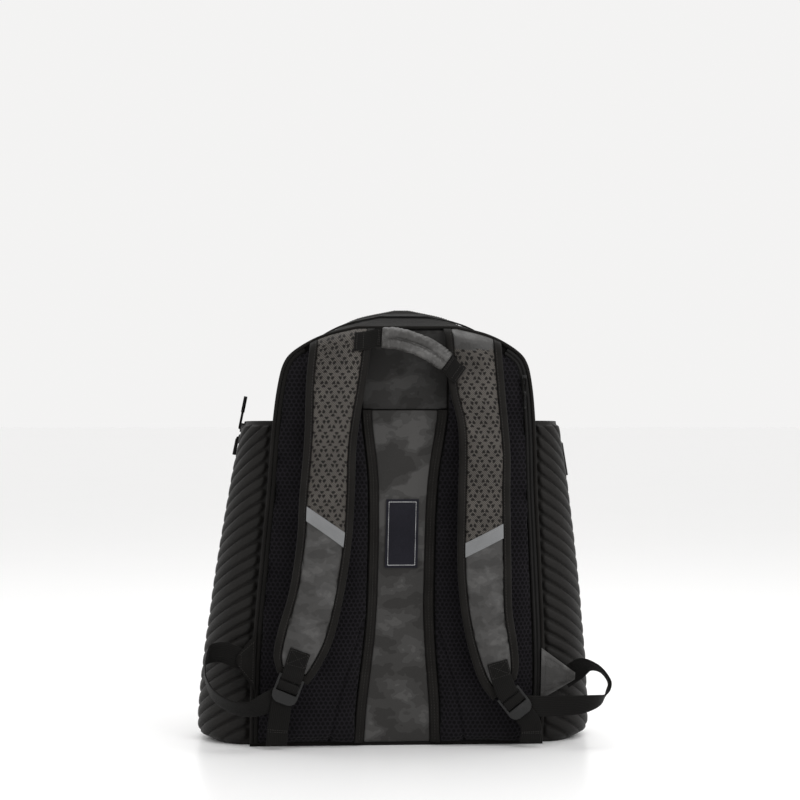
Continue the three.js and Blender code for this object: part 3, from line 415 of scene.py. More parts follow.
angle = calc(wedges, "ARCTAN2", across, rise)
turned = calc(wedges, "MULTIPLY_ADD", angle, 3.0, calc(wedges, "MULTIPLY", odd, math.pi))
petal = calc(wedges, "COSINE", turned)
petal = band(wedges, petal, -0.5, -0.2)
ring = calc(wedges, "MULTIPLY", band(wedges, away, 0.06, 0.09),
            calc(wedges, "SUBTRACT", 1.0, band(wedges, away, 0.31, 0.34)))
put("Mask", calc(wedges, "MULTIPLY", ring, petal))

# Camouflage in four tones, in patches that are wider than they are tall
patches, given, put = group("camouflage", [("Vector", "Vector", None), ("Size", "Float", 40.0)], ["Tone"])
spread = node(patches, "ShaderNodeCombineXYZ", {
    0: calc(patches, "MULTIPLY", given["Size"], 1.35), 1: given["Size"], 2: given["Size"]}).outputs[0]
scaled = vector(patches, "DIVIDE", given["Vector"], spread)
ragged = node(patches, "ShaderNodeTexNoise", {
    "Vector": scaled, "Scale": 3.2, "Detail": 1.5, "Roughness": 0.55})
moved = vector(patches, "ADD", scaled, vector(patches, "MULTIPLY", vector(
    patches, "SUBTRACT", ragged.outputs["Color"], (0.5, 0.5, 0.5)), (0.9, 0.7, 0.5)))
broad = node(patches, "ShaderNodeTexNoise", {"Vector": moved, "Scale": 1.0, "Detail": 1.0, "Roughness": 0.4})
steps = [band(patches, broad.outputs["Fac"], at, at + 0.012) for at in (0.44, 0.52, 0.585)]
total = calc(patches, "ADD", calc(patches, "ADD", steps[0], steps[1]), steps[2])
put("Tone", calc(patches, "MULTIPLY", total, 1 / 3))

# Uneven fading, lint and the small lumps of used cloth
used, given, put = group("usedCloth", [("Vector", "Vector", None), ("Amount", "Float", 0.2)],
                         ["Tint", "Lumps", "Lint"])
broad = node(used, "ShaderNodeTexNoise", {"Vector": given["Vector"], "Scale": 0.022, "Detail": 4.0})
fine = node(used, "ShaderNodeTexNoise", {"Vector": given["Vector"], "Scale": 0.35, "Detail": 3.0})
specks = node(used, "ShaderNodeTexNoise", {"Vector": given["Vector"], "Scale": 1.6, "Detail": 2.0})
centred = calc(used, "SUBTRACT", broad.outputs["Fac"], 0.5)
put("Tint", calc(used, "MULTIPLY_ADD", centred, calc(used, "MULTIPLY", given["Amount"], 4.0), 1.0))
put("Lumps", fine.outputs["Fac"])
put("Lint", band(used, specks.outputs["Fac"], 0.66, 0.74))

print("effects made:", len(bpy.data.node_groups))


paleLint = 0.4  # how much lighter a speck of lint is


def cloth(name, dark, light, rough, sheen=0.0, pitch=1.2, slant=0.0, depth=0.15, amount=0.2, lumps=0.3,
          coat=0.0, tones=None, marks=None, mesh=None, size=40.0, ribs=None, gloss=0.06):
    material = bpy.data.materials.new(name)
    material.use_nodes = True
    tree = material.node_tree
    shader = tree.nodes["Principled BSDF"]
    flow = node(tree, "ShaderNodeUVMap", uv_map="flow").outputs[0]
    wear = node(tree, "ShaderNodeGroup", node_tree=used)
    tree.links.new(flow, wear.inputs["Vector"])
    wear.inputs["Amount"].default_value = amount
    threads = node(tree, "ShaderNodeGroup", node_tree=weave)
    tree.links.new(flow, threads.inputs["Vector"])
    threads.inputs["Pitch"].default_value = pitch
    threads.inputs["Slant"].default_value = slant
    # Painted shade: the colour follows the threads' height, lighter on the raised threads and darker in the
    # dips between them.
    threadShade = threads.outputs["Height"]
    height = calc(tree, "MULTIPLY", threadShade, depth)
    if ribs:  # cords of a webbing, across its width
        cords = calc(tree, "SINE", calc(tree, "MULTIPLY", split(tree, flow)[0], 2 * math.pi / ribs))
        cords = calc(tree, "MULTIPLY_ADD", cords, 0.5, 0.5)
        height = calc(tree, "ADD", height, calc(tree, "MULTIPLY", cords, 0.2))
        # Painted shade in the grooves between the cords.
        threadShade = calc(tree, "MULTIPLY", threadShade, cords)
    colour = mixed(tree, threadShade, (*dark, 1), (*light, 1))
    if tones:
        patch = node(tree, "ShaderNodeGroup", node_tree=patches)
        tree.links.new(flow, patch.inputs["Vector"])
        patch.inputs["Size"].default_value = size
        ramp = node(tree, "ShaderNodeValToRGB", {0: patch.outputs["Tone"]})
        ramp.color_ramp.elements[0].color = (*tones[0], 1)
        ramp.color_ramp.elements[1].color = (*tones[-1], 1)
        for i in range(1, len(tones) - 1):
            ramp.color_ramp.elements.new(i / (len(tones) - 1)).color = (*tones[i], 1)
        # Painted shade of the weave over the camouflage tones, darker in the dips between threads.
        shade = calc(tree, "MULTIPLY_ADD", threadShade, 0.22, 0.89)
        colour = vector(tree, "MULTIPLY", ramp.outputs[0], node(
            tree, "ShaderNodeCombineXYZ", {0: shade, 1: shade, 2: shade}).outputs[0])
    if marks:
        printed = node(tree, "ShaderNodeGroup", node_tree=wedges)
        tree.links.new(flow, printed.inputs["Vector"])
        printed.inputs["Pitch"].default_value = marks["pitch"]
        colour = mixed(tree, printed.outputs["Mask"], colour, (*marks["colour"], 1))
        height = calc(tree, "SUBTRACT", height, calc(tree, "MULTIPLY", printed.outputs["Mask"], 0.25))
    if mesh:
        walls = node(tree, "ShaderNodeGroup", node_tree=cells)
        tree.links.new(flow, walls.inputs["Vector"])
        walls.inputs["Pitch"].default_value = mesh["pitch"]
        walls.inputs["Wall"].default_value = mesh["wall"]
        # Painted shade: the hollows of the cells get a darker colour than their walls.
        colour = mixed(tree, walls.outputs["Edge"], (*mesh["hollow"], 1), colour)
        height = calc(tree, "ADD", height, calc(tree, "MULTIPLY", walls.outputs["Edge"], 0.8))
    tint = wear.outputs["Tint"]
    tint = calc(tree, "ADD", tint, calc(tree, "MULTIPLY", wear.outputs["Lint"], paleLint))
    colour = vector(tree, "MULTIPLY", colour, node(
        tree, "ShaderNodeCombineXYZ", {0: tint, 1: tint, 2: tint}).outputs[0])
    tree.links.new(colour, shader.inputs["Base Color"])
    height = calc(tree, "ADD", height, calc(tree, "MULTIPLY", wear.outputs["Lumps"], lumps))
    bump = node(tree, "ShaderNodeBump", {"Height": height, "Strength": 1.0, "Distance": 0.0006})
    tree.links.new(bump.outputs[0], shader.inputs["Normal"])
    uneven = calc(tree, "MULTIPLY_ADD", wear.outputs["Lumps"], 0.16, rough - 0.08)
    tree.links.new(uneven, shader.inputs["Roughness"])
    shader.inputs["Sheen Weight"].default_value = sheen
    shader.inputs["Sheen Roughness"].default_value = 0.4
    shader.inputs["Specular IOR Level"].default_value = gloss + coat
    return material


def grey(value, warm=0.0):
    return (value * (1 + warm), value, value * (1 - warm))


bodyCloth = cloth("bodyCloth", grey(0.0045, 0.07), grey(0.01, 0.07), 0.8, sheen=0.03, pitch=1.4, slant=1)
rollCloth = cloth("rollCloth", grey(0.016, 0.04), grey(0.034, 0.04), 0.62, sheen=0.03, pitch=1.1)
bindingCloth = cloth("bindingCloth", grey(0.005, 0.08), grey(0.0125, 0.08), 0.72, sheen=0.04, pitch=1.6,
                     slant=0.7, amount=0.3)
zipCloth = cloth("zipCloth", grey(0.006, 0.04), grey(0.014, 0.04), 0.6, pitch=1.0, coat=0.06, ribs=1.3)
camoTones = (grey(0.021, 0.05), grey(0.03, 0.04), grey(0.041, 0.03), grey(0.055, 0.03))
camoCloth = cloth("camoCloth", grey(0), grey(0), 0.56, pitch=0.9, depth=0.1, tones=camoTones, lumps=0.4,
                  coat=0.12, amount=0.05)
# Painted shade: the camouflage tones made darker for the yoke, which sits recessed above its seam.
yokeShadedCloth = cloth("yokeShadedCloth", grey(0), grey(0), 0.6, pitch=0.9, depth=0.1, lumps=0.4, coat=0.08, amount=0.05,
                  tones=[tuple(0.62 * c for c in tone) for tone in camoTones])
satinTones = [tuple(1.05 * c for c in tone) for tone in camoTones]
satinCloth = cloth("satinCloth", grey(0), grey(0), 0.42, pitch=0.9, depth=0.08, tones=satinTones, lumps=0.7,
                   coat=0.3, size=34.0, amount=0.06)
# Painted light: the camouflage tones made 1.5 times lighter for the handle, which is lit from above.
handleLitCloth = cloth("handleLitCloth", grey(0), grey(0), 0.4, pitch=0.9, depth=0.08, lumps=0.6, coat=0.35,
                    size=30.0, tones=[tuple(1.5 * c for c in tone) for tone in camoTones])
strapPrint = cloth("strapPrint", grey(0.022, 0.1), grey(0.088, 0.1), 0.72, sheen=0.03, pitch=2.5, slant=1,
                   marks={"pitch": 13.6, "colour": grey(0.0095, 0.1)}, gloss=0.12)
# The cells' hollows are painted darker, as painted shade.
meshCloth = cloth("meshCloth", (0.0075, 0.0068, 0.0082), (0.013, 0.0118, 0.0142), 0.86, sheen=0.04, pitch=1.0,
                  mesh={"pitch": 5.6, "wall": 0.15, "hollow": (0.0036, 0.0033, 0.0038)})
ribCloth = cloth("ribCloth", grey(0.0052, 0.1), grey(0.0105, 0.1), 0.58, sheen=0.05, pitch=1.3, slant=0.6,
                 coat=0.1)
webCloth = cloth("webCloth", grey(0.004, 0.06), grey(0.011, 0.06), 0.6, sheen=0.03, pitch=1.6, ribs=2.2,
                 depth=0.2)
patchCloth = cloth("patchCloth", (0.008, 0.008, 0.011), (0.02, 0.0195, 0.026), 0.7, pitch=0.8, slant=1,
                   depth=0.2)
borderCloth = cloth("borderCloth", grey(0.3), grey(0.62, -0.01), 0.65, pitch=0.8, slant=1, depth=0.3)
reflective = cloth("reflective", grey(0.135, -0.02), grey(0.19, -0.02), 0.38, pitch=0.8, depth=0.1, coat=0.3)
threadCloth = cloth("threadCloth", grey(0.022, 0.05), grey(0.05, 0.05), 0.6, pitch=0.5)
paleThread = cloth("paleThread", grey(0.16), grey(0.3), 0.6, pitch=0.5)


def hardPlastic(name, colour, rough):
    material = bpy.data.materials.new(name)
    material.use_nodes = True
    tree = material.node_tree
    shader = tree.nodes["Principled BSDF"]
    spot = node(tree, "ShaderNodeTexCoord").outputs["Object"]
    grain = node(tree, "ShaderNodeTexNoise", {"Vector": spot, "Scale": 900.0, "Detail": 3.0})
    scuffs = node(tree, "ShaderNodeTexNoise", {
        "Vector": spot, "Scale": 70.0, "Detail": 6.0, "Roughness": 0.7})
    worn = band(tree, scuffs.outputs["Fac"], 0.5, 0.72)
    shade = mixed(tree, worn, (*grey(colour), 1), (*grey(colour * 2.4), 1))
    tree.links.new(shade, shader.inputs["Base Color"])
    tree.links.new(calc(tree, "MULTIPLY_ADD", worn, 0.18, rough), shader.inputs["Roughness"])
    shader.inputs["Specular IOR Level"].default_value = 0.28
    bump = node(tree, "ShaderNodeBump", {"Height": grain.outputs["Fac"], "Strength": 0.5, "Distance": 0.0001})
    tree.links.new(bump.outputs[0], shader.inputs["Normal"])
    return material


lockPlastic = hardPlastic("lockPlastic", 0.006, 0.3)
pullPlastic = hardPlastic("pullPlastic", 0.005, 0.38)

floorMaterial = bpy.data.materials.new("paleFloor")
floorMaterial.use_nodes = True
floorTree = floorMaterial.node_tree
floorShader = floorTree.nodes["Principled BSDF"]
faint = node(floorTree, "ShaderNodeTexNoise", {
    "Vector": node(floorTree, "ShaderNodeTexCoord").outputs["Object"], "Scale": 3.0, "Detail": 4.0})
tone = mixed(floorTree, faint.outputs["Fac"], (*grey(studio["floor"]), 1), (*grey(studio["floor"] + 0.02), 1))
floorTree.links.new(tone, floorShader.inputs["Base Color"])
floorShader.inputs["Roughness"].default_value = 0.3
floor.data.materials.append(floorMaterial)
print("materials made:", len(bpy.data.materials))


# The hollow body


def bodyHalf(up, deep):
    rear, far = bag["backHalf"] * read(bodyTable, "back", up), bag["frontHalf"] * read(bodyTable, "front", up)
    return lerp(rear, far, deep)


def bodyY(up, deep):
    return bag["board"] + bag["gap"] + deep * bag["depth"] * read(bodyTable, "depth", up)


# x, z and share of the height: up the left side, over the top and down the right side
def outline(deep, fine=True):
    height = lerp(bag["height"], bag["crest"], deep)
    ups = [0, 0.1, 0.2, 0.325, 0.45, 0.6, 0.7, 0.767, 0.82, 0.875, 0.905, 0.93, 0.954, 0.97, 0.984, 1]
    if fine:
        ups = [lerp(a, b, k / 4) for a, b in zip(ups, ups[1:]) for k in range(4)] + [1]
    half = []
    for up in ups:
        pressed = bag["dent"] * math.sin(math.pi * clamp(deep)) * smooth((0.9 - up) / 0.2)
        half.append((bodyHalf(up, deep) - pressed, up * height if up else bag["foot"], up))
    return [(-x, z, up) for x, z, up in half] + half[::-1]


def shifted(line, distance):  # x, z moved to the right of the way it runs
    out = []
    for i, (x, z, up) in enumerate(line):
        a, b = line[max(i - 1, 0)], line[min(i + 1, len(line) - 1)]
        tx, tz = b[0] - a[0], b[1] - a[1]
        size = math.hypot(tx, tz) or 1
        out.append((x + distance * tz / size, z - distance * tx / size, up))
    return out


def edgeHeight(x):  # height of the back's top seam over a place across
    half = outline(0)
    half = half[len(half) // 2:]
    for (x0, z0, _), (x1, z1, _) in zip(half, half[1:]):
        if x0 <= abs(x) <= x1:
            return lerp(z0, z1, (abs(x) - x0) / max(x1 - x0, 1e-6))
    return half[0][1]


def backEdge(inset, low=0, high=1):  # half widths down the left side of the back
    line = shifted(outline(0), inset)
    half = line[: len(line) // 2]
    return [(-x, z, up) for x, z, up in half if low <= up <= high]


sagging = {"size": 46.0, "most": 2.6, "fine": 15.0, "fineMost": 0.7}


def sag(x, y, z, much=1.0):  # soft dents of cloth that nothing holds out
    wide = soft(x, y, z * 0.6, sagging["size"], 3.1) * sagging["most"]
    return (wide + soft(x, y, z, sagging["fine"], 8.4) * sagging["fineMost"]) * much


def makeGusset():
    depths = [k / 30 for k in range(31)]
    front, back, uv = [], [], []
    for deep in depths:
        line = outline(deep)
        run = lengths([(x, z) for x, z, up in line])
        free = math.sin(math.pi * deep) ** 0.7
        inner = shifted(line, bag["wall"])
        rowFront, rowBack, rowUv = [], [], []
        for i, (x, z, up) in enumerate(line):
            tx, tz = along([(p[0], p[1]) for p in line], i)
            dent = -abs(sag(x, 150 * deep, z)) * free * 0.8
            y = bodyY(up, deep)
            rowFront.append((x - dent * tz, y, z + dent * tx))
            rowBack.append((inner[i][0] - dent * tz, y, inner[i][1] + dent * tx))
            rowUv.append((y, run[i] - run[-1] / 2))
        front.append(rowFront)
        back.append(rowBack)
        uv.append(rowUv)
    return finish(slab("sideGusset", front, back, uv, bodyCloth), ["side_gusset"])


def makeBoard():
    line = backEdge(0)
    across = [-1 + k / 8 for k in range(17)]
    front = [[(x * c, 0, z) for c in across] for x, z, up in line]
    back = [[(x * c, bag["board"], z) for c in across] for x, z, up in line]
    uv = [[(p[0], p[2]) for p in row] for row in front]
    return finish(slab("backBoard", front, back, uv, bodyCloth), ["back_board"], angle=40)


def makeBase():
    rows = [(outline(k / 12)[0][0], bodyY(0, k / 12)) for k in range(13)]
    rows[0] = (rows[0][0], 0)
    rows.append((rows[-1][0], rows[-1][1] + bag["gap"] + 2 * bag["welt"]))
    across = [1 - k / 20 for k in range(41)]
    top = [[(half * c, y, bag["base"]) for c in across] for half, y in rows]
    low = [[(half * c, y, 0.35 * (1 - abs(c) ** 8) * (1 if 0 < i < len(rows) - 1 else 0)) for c in across]
           for i, (half, y) in enumerate(rows)]
    uv = [[(p[0], p[1]) for p in row] for row in top]
    return finish(slab("basePanel", top, low, uv, bodyCloth), ["base_panel"], angle=40)


def makeFront():
    line = shifted(outline(1), 2 * bag["welt"] + bag["gap"])
    line = line[: len(line) // 2]
    low, high = line[0][1], line[-1][1]
    across = [-1 + k / 32 for k in range(65)]

    def sheet(out):
        rows = []
        for x, z, up in line:
            tall = (z - low) / (high - low)
            row = []
            for c in across:
                swell = (1 - abs(c) ** 3) * (1 - abs(2 * tall - 1) ** 5)
                seam = 1.6 * math.exp(-((z - 300 - 6 * c * c) / 2.2) ** 2) if out else 0
                dent = sag(-x * c, 0, z, 0.9) * swell if out else 0
                y = bodyY(up, 1) + bag["gap"] + out + bag["frontBulge"] * swell - seam - max(dent, -2) * 0.6
                row.append((-x * c, y, z))
            rows.append(row)
        return rows

    front = sheet(3.0)
    uv = [[(p[0], p[2]) for p in row] for row in front]
    return finish(slab("frontShell", front, sheet(0), uv, bodyCloth), ["front_shell"])


def rollRings(spine, radius, sides, ribs=None):
    rings, uv, run = [], [], lengths(spine)
    for i, point in enumerate(spine):
        step = Vector(along(spine, i))
        deep = Vector((0, 1, 0)) - step * step.y
        deep.normalize()
        side = step.cross(deep)
        ring, row = [], []
        for k in range(sides):
            turn = 2 * math.pi * k / sides
            size = radius
            if ribs:
                wave = math.sin(2 * math.pi * (run[i] / ribs["pitch"] + ribs["twist"] * k / sides))
                size += ribs["depth"] * (wave - 1) / 2
            ring.append(tuple(Vector(point) + deep * math.cos(turn) * size + side * math.sin(turn) * size))
            row.append((radius * turn, run[i]))
        rings.append(ring)
        uv.append(row)
    return rings, uv


welt = {
    "inset": 1.5, "overlap": 1.2, "step": 0.78, "sides": 20, "ribs": {"pitch": 3.1, "twist": 2, "depth": 0.9},
}


def makeWelt():
    line = shifted(outline(1), welt["inset"])
    spine = [(x, bodyY(up, 1) + bag["welt"] - welt["overlap"], z) for x, z, up in line]
    rings, uv = rollRings(resample(spine, welt["step"]), bag["welt"], welt["sides"], welt["ribs"])
    return finish(tube("frontWelt", rings, uv, rollCloth), ["front_welt"])


def makePiping():
    line = shifted(outline(0), bag["piping"])
    spine = [(x, -bag["gap"] - bag["piping"], z) for x, z, up in line]
    rings, uv = rollRings(resample(spine, 4.0), bag["piping"], 12)
    return finish(tube("backPiping", rings, uv, bindingCloth), ["back_piping"])


mainZip = {"width": 22.0, "place": 0.66, "low": 0.82, "gap": 0.6, "thick": 1.6, "groove": 1.1}


def makeMainZip():
    half = mainZip["width"] / 2 / bag["depth"]
    shares = [k / 12 for k in range(13)]
    front, back, uv = [], [], []
    for share in shares:
        deep = mainZip["place"] + half * (2 * share - 1)
        centre = abs(2 * share - 1)
        crown = mainZip["thick"] - mainZip["groove"] * math.exp(-(centre / 0.09) ** 2)
        outer = [p for p in shifted(outline(deep), -mainZip["gap"] - crown) if p[2] >= mainZip["low"]]
        inner = [p for p in shifted(outline(deep), -mainZip["gap"]) if p[2] >= mainZip["low"]]
        run = lengths([(p[0], p[1]) for p in outer])
        front.append([(x, bodyY(up, deep), z) for x, z, up in outer])
        back.append([(x, bodyY(up, deep), z) for x, z, up in inner])
        uv.append([(mainZip["width"] * share, r) for r in run])
    return finish(slab("mainZip", front, back, uv, zipCloth), ["main_zip"], angle=50)


makeGusset()
makeBoard()
makeBase()
makeFront()
makeWelt()
makePiping()
makeMainZip()
print("body made")


# The bat sleeves, with rounded ribs that run down and round from the back edge
sleeve = {
    "top": 388.0, "half": 237.0, "start": 9.0, "run": 62.0, "wall": 3.5, "floor": 4.0,
    "pitch": 16.0, "height": 4.2, "fall": 100.0, "bandHalf": 6.2, "flat": 3.5, "zipAngle": 1.75,
    "zipSpread": 0.12, "zipFoot": 40, "hem": 3.5, "rows": 300, "columns": 112, "squeeze": 0.84, "square": 3.6,
    "soften": 0.8,
}


def sleevePoint(side, z, angle, out):
    up = clamp(z / bag["height"], 0, 0.95)
    length = bag["depth"] * read(bodyTable, "depth", up)
    run = sleeve["run"] * read(bodyTable, "depth", up)
    y = bag["board"] + bag["gap"] + sleeve["start"] + run - run * math.cos(angle)
    deep = (y - bag["board"] - bag["gap"]) / length
    chord = bodyHalf(up, deep)
    reach = sleeve["half"] * read(sleeveTable, "reach", up)
    x = lerp(chord, reach, max(math.sin(angle), 0) ** 0.8)
    nx, ny = run * math.sin(angle), -(reach - chord) * math.cos(angle)
    size = out / (math.hypot(nx, ny) or 1)
    return (side * (x + nx * size), y + ny * size, z)


def ribRise(z, angle, around, total):
    level = z + sleeve["fall"] * angle / math.pi
    off = (level / sleeve["pitch"] + 0.5) % 1 - 0.5
    off = abs(off) * sleeve["pitch"] * sleeve["squeeze"]
    fromEnd = min(around, total - around)
    past = max(0.0, sleeve["flat"] + sleeve["bandHalf"] - fromEnd)
    reach = math.hypot(off, past) / sleeve["bandHalf"]
    rib = (1 - min(reach, 1) ** sleeve["square"]) ** sleeve["soften"]
    hem = smooth((sleeve["top"] - sleeve["hem"] - z) / 3)
    return sleeve["height"] * rib * hem * smooth(z / 9)


def makeSleeve(name, side):
    rows, columns = sleeve["rows"], sleeve["columns"]
    angles = [math.pi * k / columns for k in range(columns + 1)]
    front, uv = [], []
    for r in range(rows + 1):
        z = lerp(0.0, sleeve["top"], r / rows)
        ring = [sleevePoint(side, z, a, 0) for a in angles]
        run = lengths(ring)
        line = []
        for a, s in zip(angles, run):
            out = ribRise(z, a, s, run[-1])
            if -sleeve["zipSpread"] < a - sleeve["zipAngle"] < sleeve["zipSpread"] and z > sleeve["zipFoot"]:
                out = 0
            line.append(sleevePoint(side, z, a, out + 0.5 * soft(side * 90, 30 * a, z, 30, 2.0)))
        front.append(line)
        uv.append([(s * side, z) for s in run])
    inner = [lerp(sleeve["floor"], sleeve["top"], r / 60) for r in range(61)]
    ring = [[sleevePoint(side, z, a, -sleeve["wall"]) for a in angles] for z in inner]
    points = [place(*p) for row in front + ring[::-1] for p in row]
    uvs = [t for row in uv for t in row] + [(s * 2, z) for z in inner[::-1] for s in range(columns + 1)]
    count = len(front) + len(ring)
    faces = gridFaces(count, columns + 1)
    last = (count - 1) * (columns + 1)
    for c in range(columns):  # the floor of the sleeve, between its outer foot and its inside
        faces.append((last + c, last + c + 1, c + 1, c))
    for c, turned in ((0, True), (columns, False)):  # the two long edges against the body
        half = len(front)
        outerUp = [r * (columns + 1) + c for r in range(half)]
        innerUp = [(count - 1 - r) * (columns + 1) + c for r in range(len(ring))]
        loop = outerUp + innerUp[::-1]
        faces.append(tuple(loop[::-1] if turned else loop))
    piece = newPiece("batSleeve" + name.capitalize(), points, faces, uvs, ribCloth)
    return finish(piece, ["bat_sleeve_" + name])


def makeSleeveZip(name, side):
    heights = [lerp(40.0, sleeve["top"] - 0.3, k / 60) for k in range(61)]
    shares = [-1 + k / 6 for k in range(13)]
    crown = [2.0 - 0.9 * math.exp(-(s / 0.14) ** 2) for s in shares]
    front = [[sleevePoint(side, z, sleeve["zipAngle"] + s * sleeve["zipSpread"], c)
              for s, c in zip(shares, crown)] for z in heights]
    back = [[sleevePoint(side, z, sleeve["zipAngle"] + s * sleeve["zipSpread"], -0.2) for s in shares]
            for z in heights]
    uv = [[(8 * s, z) for s in shares] for z in heights]
    piece = slab("sleeveZip" + name.capitalize(), front, back, uv, zipCloth)
    return finish(piece, ["sleeve_zip_" + name], angle=50)


for sideName, sideSign in (("left", -1), ("right", 1)):
    makeSleeve(sideName, sideSign)
    makeSleeveZip(sideName, sideSign)
print("sleeves made")


# The padded back

back = {
    "padThickness": 12.0, "channelHalf": 40.0, "channelTop": 402.0, "yokeHalf": 52.0, "tape": 11.0,
    "tapeInner": 4.0, "tapeOuter": 9.0, "channelThickness": 2.5, "strip": {"left": 5.0, "right": 9.0},
    "stripThickness": 5.0, "pipingRoom": 4.7,
}


def channelHalf(z):
    if z > back["channelTop"]:
        return back["yokeHalf"] - back["tape"]
    return back["channelHalf"] * read(channelTable, "half", z / bag["height"])


# Cloth that is stretched over foam and held at its edges
simulated = {
    "frames": 16, "quality": 6, "mass": 0.25, "tension": 12, "compression": 6, "shear": 4, "bending": 0.4,
}


def relax(piece, pinned, pressure, shrink, cap):  # cap is the most that a point moves, in millimetres
    mesh = piece.data
    rest = [v.co.copy() for v in mesh.vertices]
    held = piece.vertex_groups.new(name="held")
    for vertex in mesh.vertices:
        weight = pinned(vertex)
        if weight > 0:
            held.add([vertex.index], weight, "REPLACE")
    sheet = piece.modifiers.new("cloth", "CLOTH")
    settings = sheet.settings
    settings.quality = simulated["quality"]
    settings.mass = simulated["mass"]
    settings.tension_stiffness = simulated["tension"]
    settings.compression_stiffness = simulated["compression"]
    settings.shear_stiffness = simulated["shear"]
    settings.bending_stiffness = simulated["bending"]
    settings.vertex_group_mass = "held"
    settings.pin_stiffness = 1
    settings.use_pressure = True
    settings.uniform_pressure_force = pressure
    settings.shrink_min = shrink
    settings.effector_weights.gravity = 0
    sheet.collision_settings.use_collision = False
    for frameNumber in range(1, simulated["frames"] + 1):
        scene.frame_set(frameNumber)
    bpy.context.view_layer.update()
    moved = piece.evaluated_get(bpy.context.evaluated_depsgraph_get()).to_mesh()
    most = cap * 0.001
    places = []
    for start, vertex in zip(rest, moved.vertices):
        step = vertex.co - start
        if step.length > most:
            step *= most / step.length
        places.append(start + step)
    piece.evaluated_get(bpy.context.evaluated_depsgraph_get()).to_mesh_clear()
    piece.modifiers.remove(sheet)
    piece.vertex_groups.clear()
    scene.frame_set(1)
    for vertex, spot in zip(mesh.vertices, places):
        vertex.co = spot
    mesh.update()


def refine(piece, levels):
    bpy.ops.object.select_all(action="DESELECT")
    bpy.context.view_layer.objects.active = piece
    piece.select_set(True)
    finer = piece.modifiers.new("finer", "SUBSURF")
    finer.levels = finer.render_levels = levels
    finer.uv_smooth = "PRESERVE_BOUNDARIES"
    bpy.ops.object.modifier_apply(modifier=finer.name)
    piece.select_set(False)


def emboss(piece, height):  # moves what faces the wearer by a height over the flow map
    mesh = piece.data
    spots = {}
    layer = mesh.uv_layers["flow"].data
    for loop in mesh.loops:
        spots.setdefault(loop.vertex_index, layer[loop.index].uv.copy())
    normals = [v.normal.copy() for v in mesh.vertices]
    for vertex, normal in zip(mesh.vertices, normals):
        facing = smooth((-normal.y - 0.3) / 0.3)
        if facing > 0 and vertex.index in spots:
            uv = spots[vertex.index]
            vertex.co += normal * height(uv.x, uv.y) * facing * 0.001
    mesh.update()


def cellEdge(x, y, pitch):  # 1 on the wall between two six-sided cells, 0 in the middle of one
    best = None
    for shift in (0.0, 0.5):
        a = ((x / pitch + shift) % 1 - 0.5)
        b = ((y / pitch / math.sqrt(3) + shift) % 1 - 0.5) * math.sqrt(3)
        if best is None or a * a + b * b < best[0]:
            best = (a * a + b * b, abs(a), abs(b))
    return 2 * max(best[1], 0.5 * best[1] + 0.866 * best[2])


# Sewn seam in each pad: share of the pad's width from the channel, by share of the height
padSeam = {"up": [0.0, 0.07, 0.143, 0.225, 0.3, 0.35], "across": [0.27, 0.22, 0.165, 0.08, 0.0, -0.09],
           "width": 1.9, "deep": 3.0}
honeycomb = {"pitch": 5.6, "depth": 0.55}


def makePad(name, side):
    outer = backEdge(back["pipingRoom"] + back["strip"][name] + bag["gap"])
    outer = resample(outer, 5.0)
    shares = [0, 0.02, 0.05] + [0.05 + 0.9 * k / 18 for k in range(1, 19)] + [0.98, 1]
    rows = len(outer)
    front, rear, uv = [], [], []
    for i, (half, z, up) in enumerate(outer):
        inner = channelHalf(z) + back["tape"] + bag["gap"]
        wide = max(half, inner + back["pipingRoom"]) - inner
        fromEnd = min(i, rows - 1 - i)
        rim = 1 - 0.5 * (1 - smooth(fromEnd / 3)) ** 2
        rowFront, rowBack, rowUv = [], [], []
        for share in shares:
            rising = (1 - (1 - clamp(share / 0.12)) ** 2) * 0.25 + 0.75
            falling = 1 - 0.6 * smooth((share - 0.6) / 0.4) ** 1.5
            thick = back["padThickness"] * rising * falling * rim
            dip = soft(side * half, 0, z, 38, 5.0) * 1.0 * math.sin(math.pi * share)
            x = side * lerp(inner, inner + wide, share)
            rowFront.append((x, -bag["gap"] - max(thick + min(dip, 0), 1.2), z))
            rowBack.append((x, -bag["gap"], z))
            rowUv.append((x, z))
        front.append(rowFront)
        rear.append(rowBack)
        uv.append(rowUv)
    piece = slab("backPad" + name.capitalize(), front, rear, uv, meshCloth)
    boardY = 0.001 * offY

    def held(vertex):
        return 1.0 if vertex.co.y > boardY - 0.0035 else 0.0

    relax(piece, held, 2.5, -0.02, cap=2.5)
    refine(piece, 2)
    strip = back["pipingRoom"] + back["strip"][name]

    def relief(x, z):
        cell = honeycomb["depth"] * (smooth((cellEdge(x, z, honeycomb["pitch"]) - 0.55) / 0.35) - 0.5)
        up = z / bag["height"]
        if up > padSeam["up"][-1]:
            return cell
        inner = channelHalf(z) + back["tape"]
        wide = bodyHalf(up, 0) - strip - inner
        off = (side * x - inner - wide * read(padSeam, "across", up)) / padSeam["width"]
        return cell * (1 - math.exp(-off * off)) - padSeam["deep"] * math.exp(-off * off)

    emboss(piece, relief)
    return finish(piece, ["back_pad_" + name])


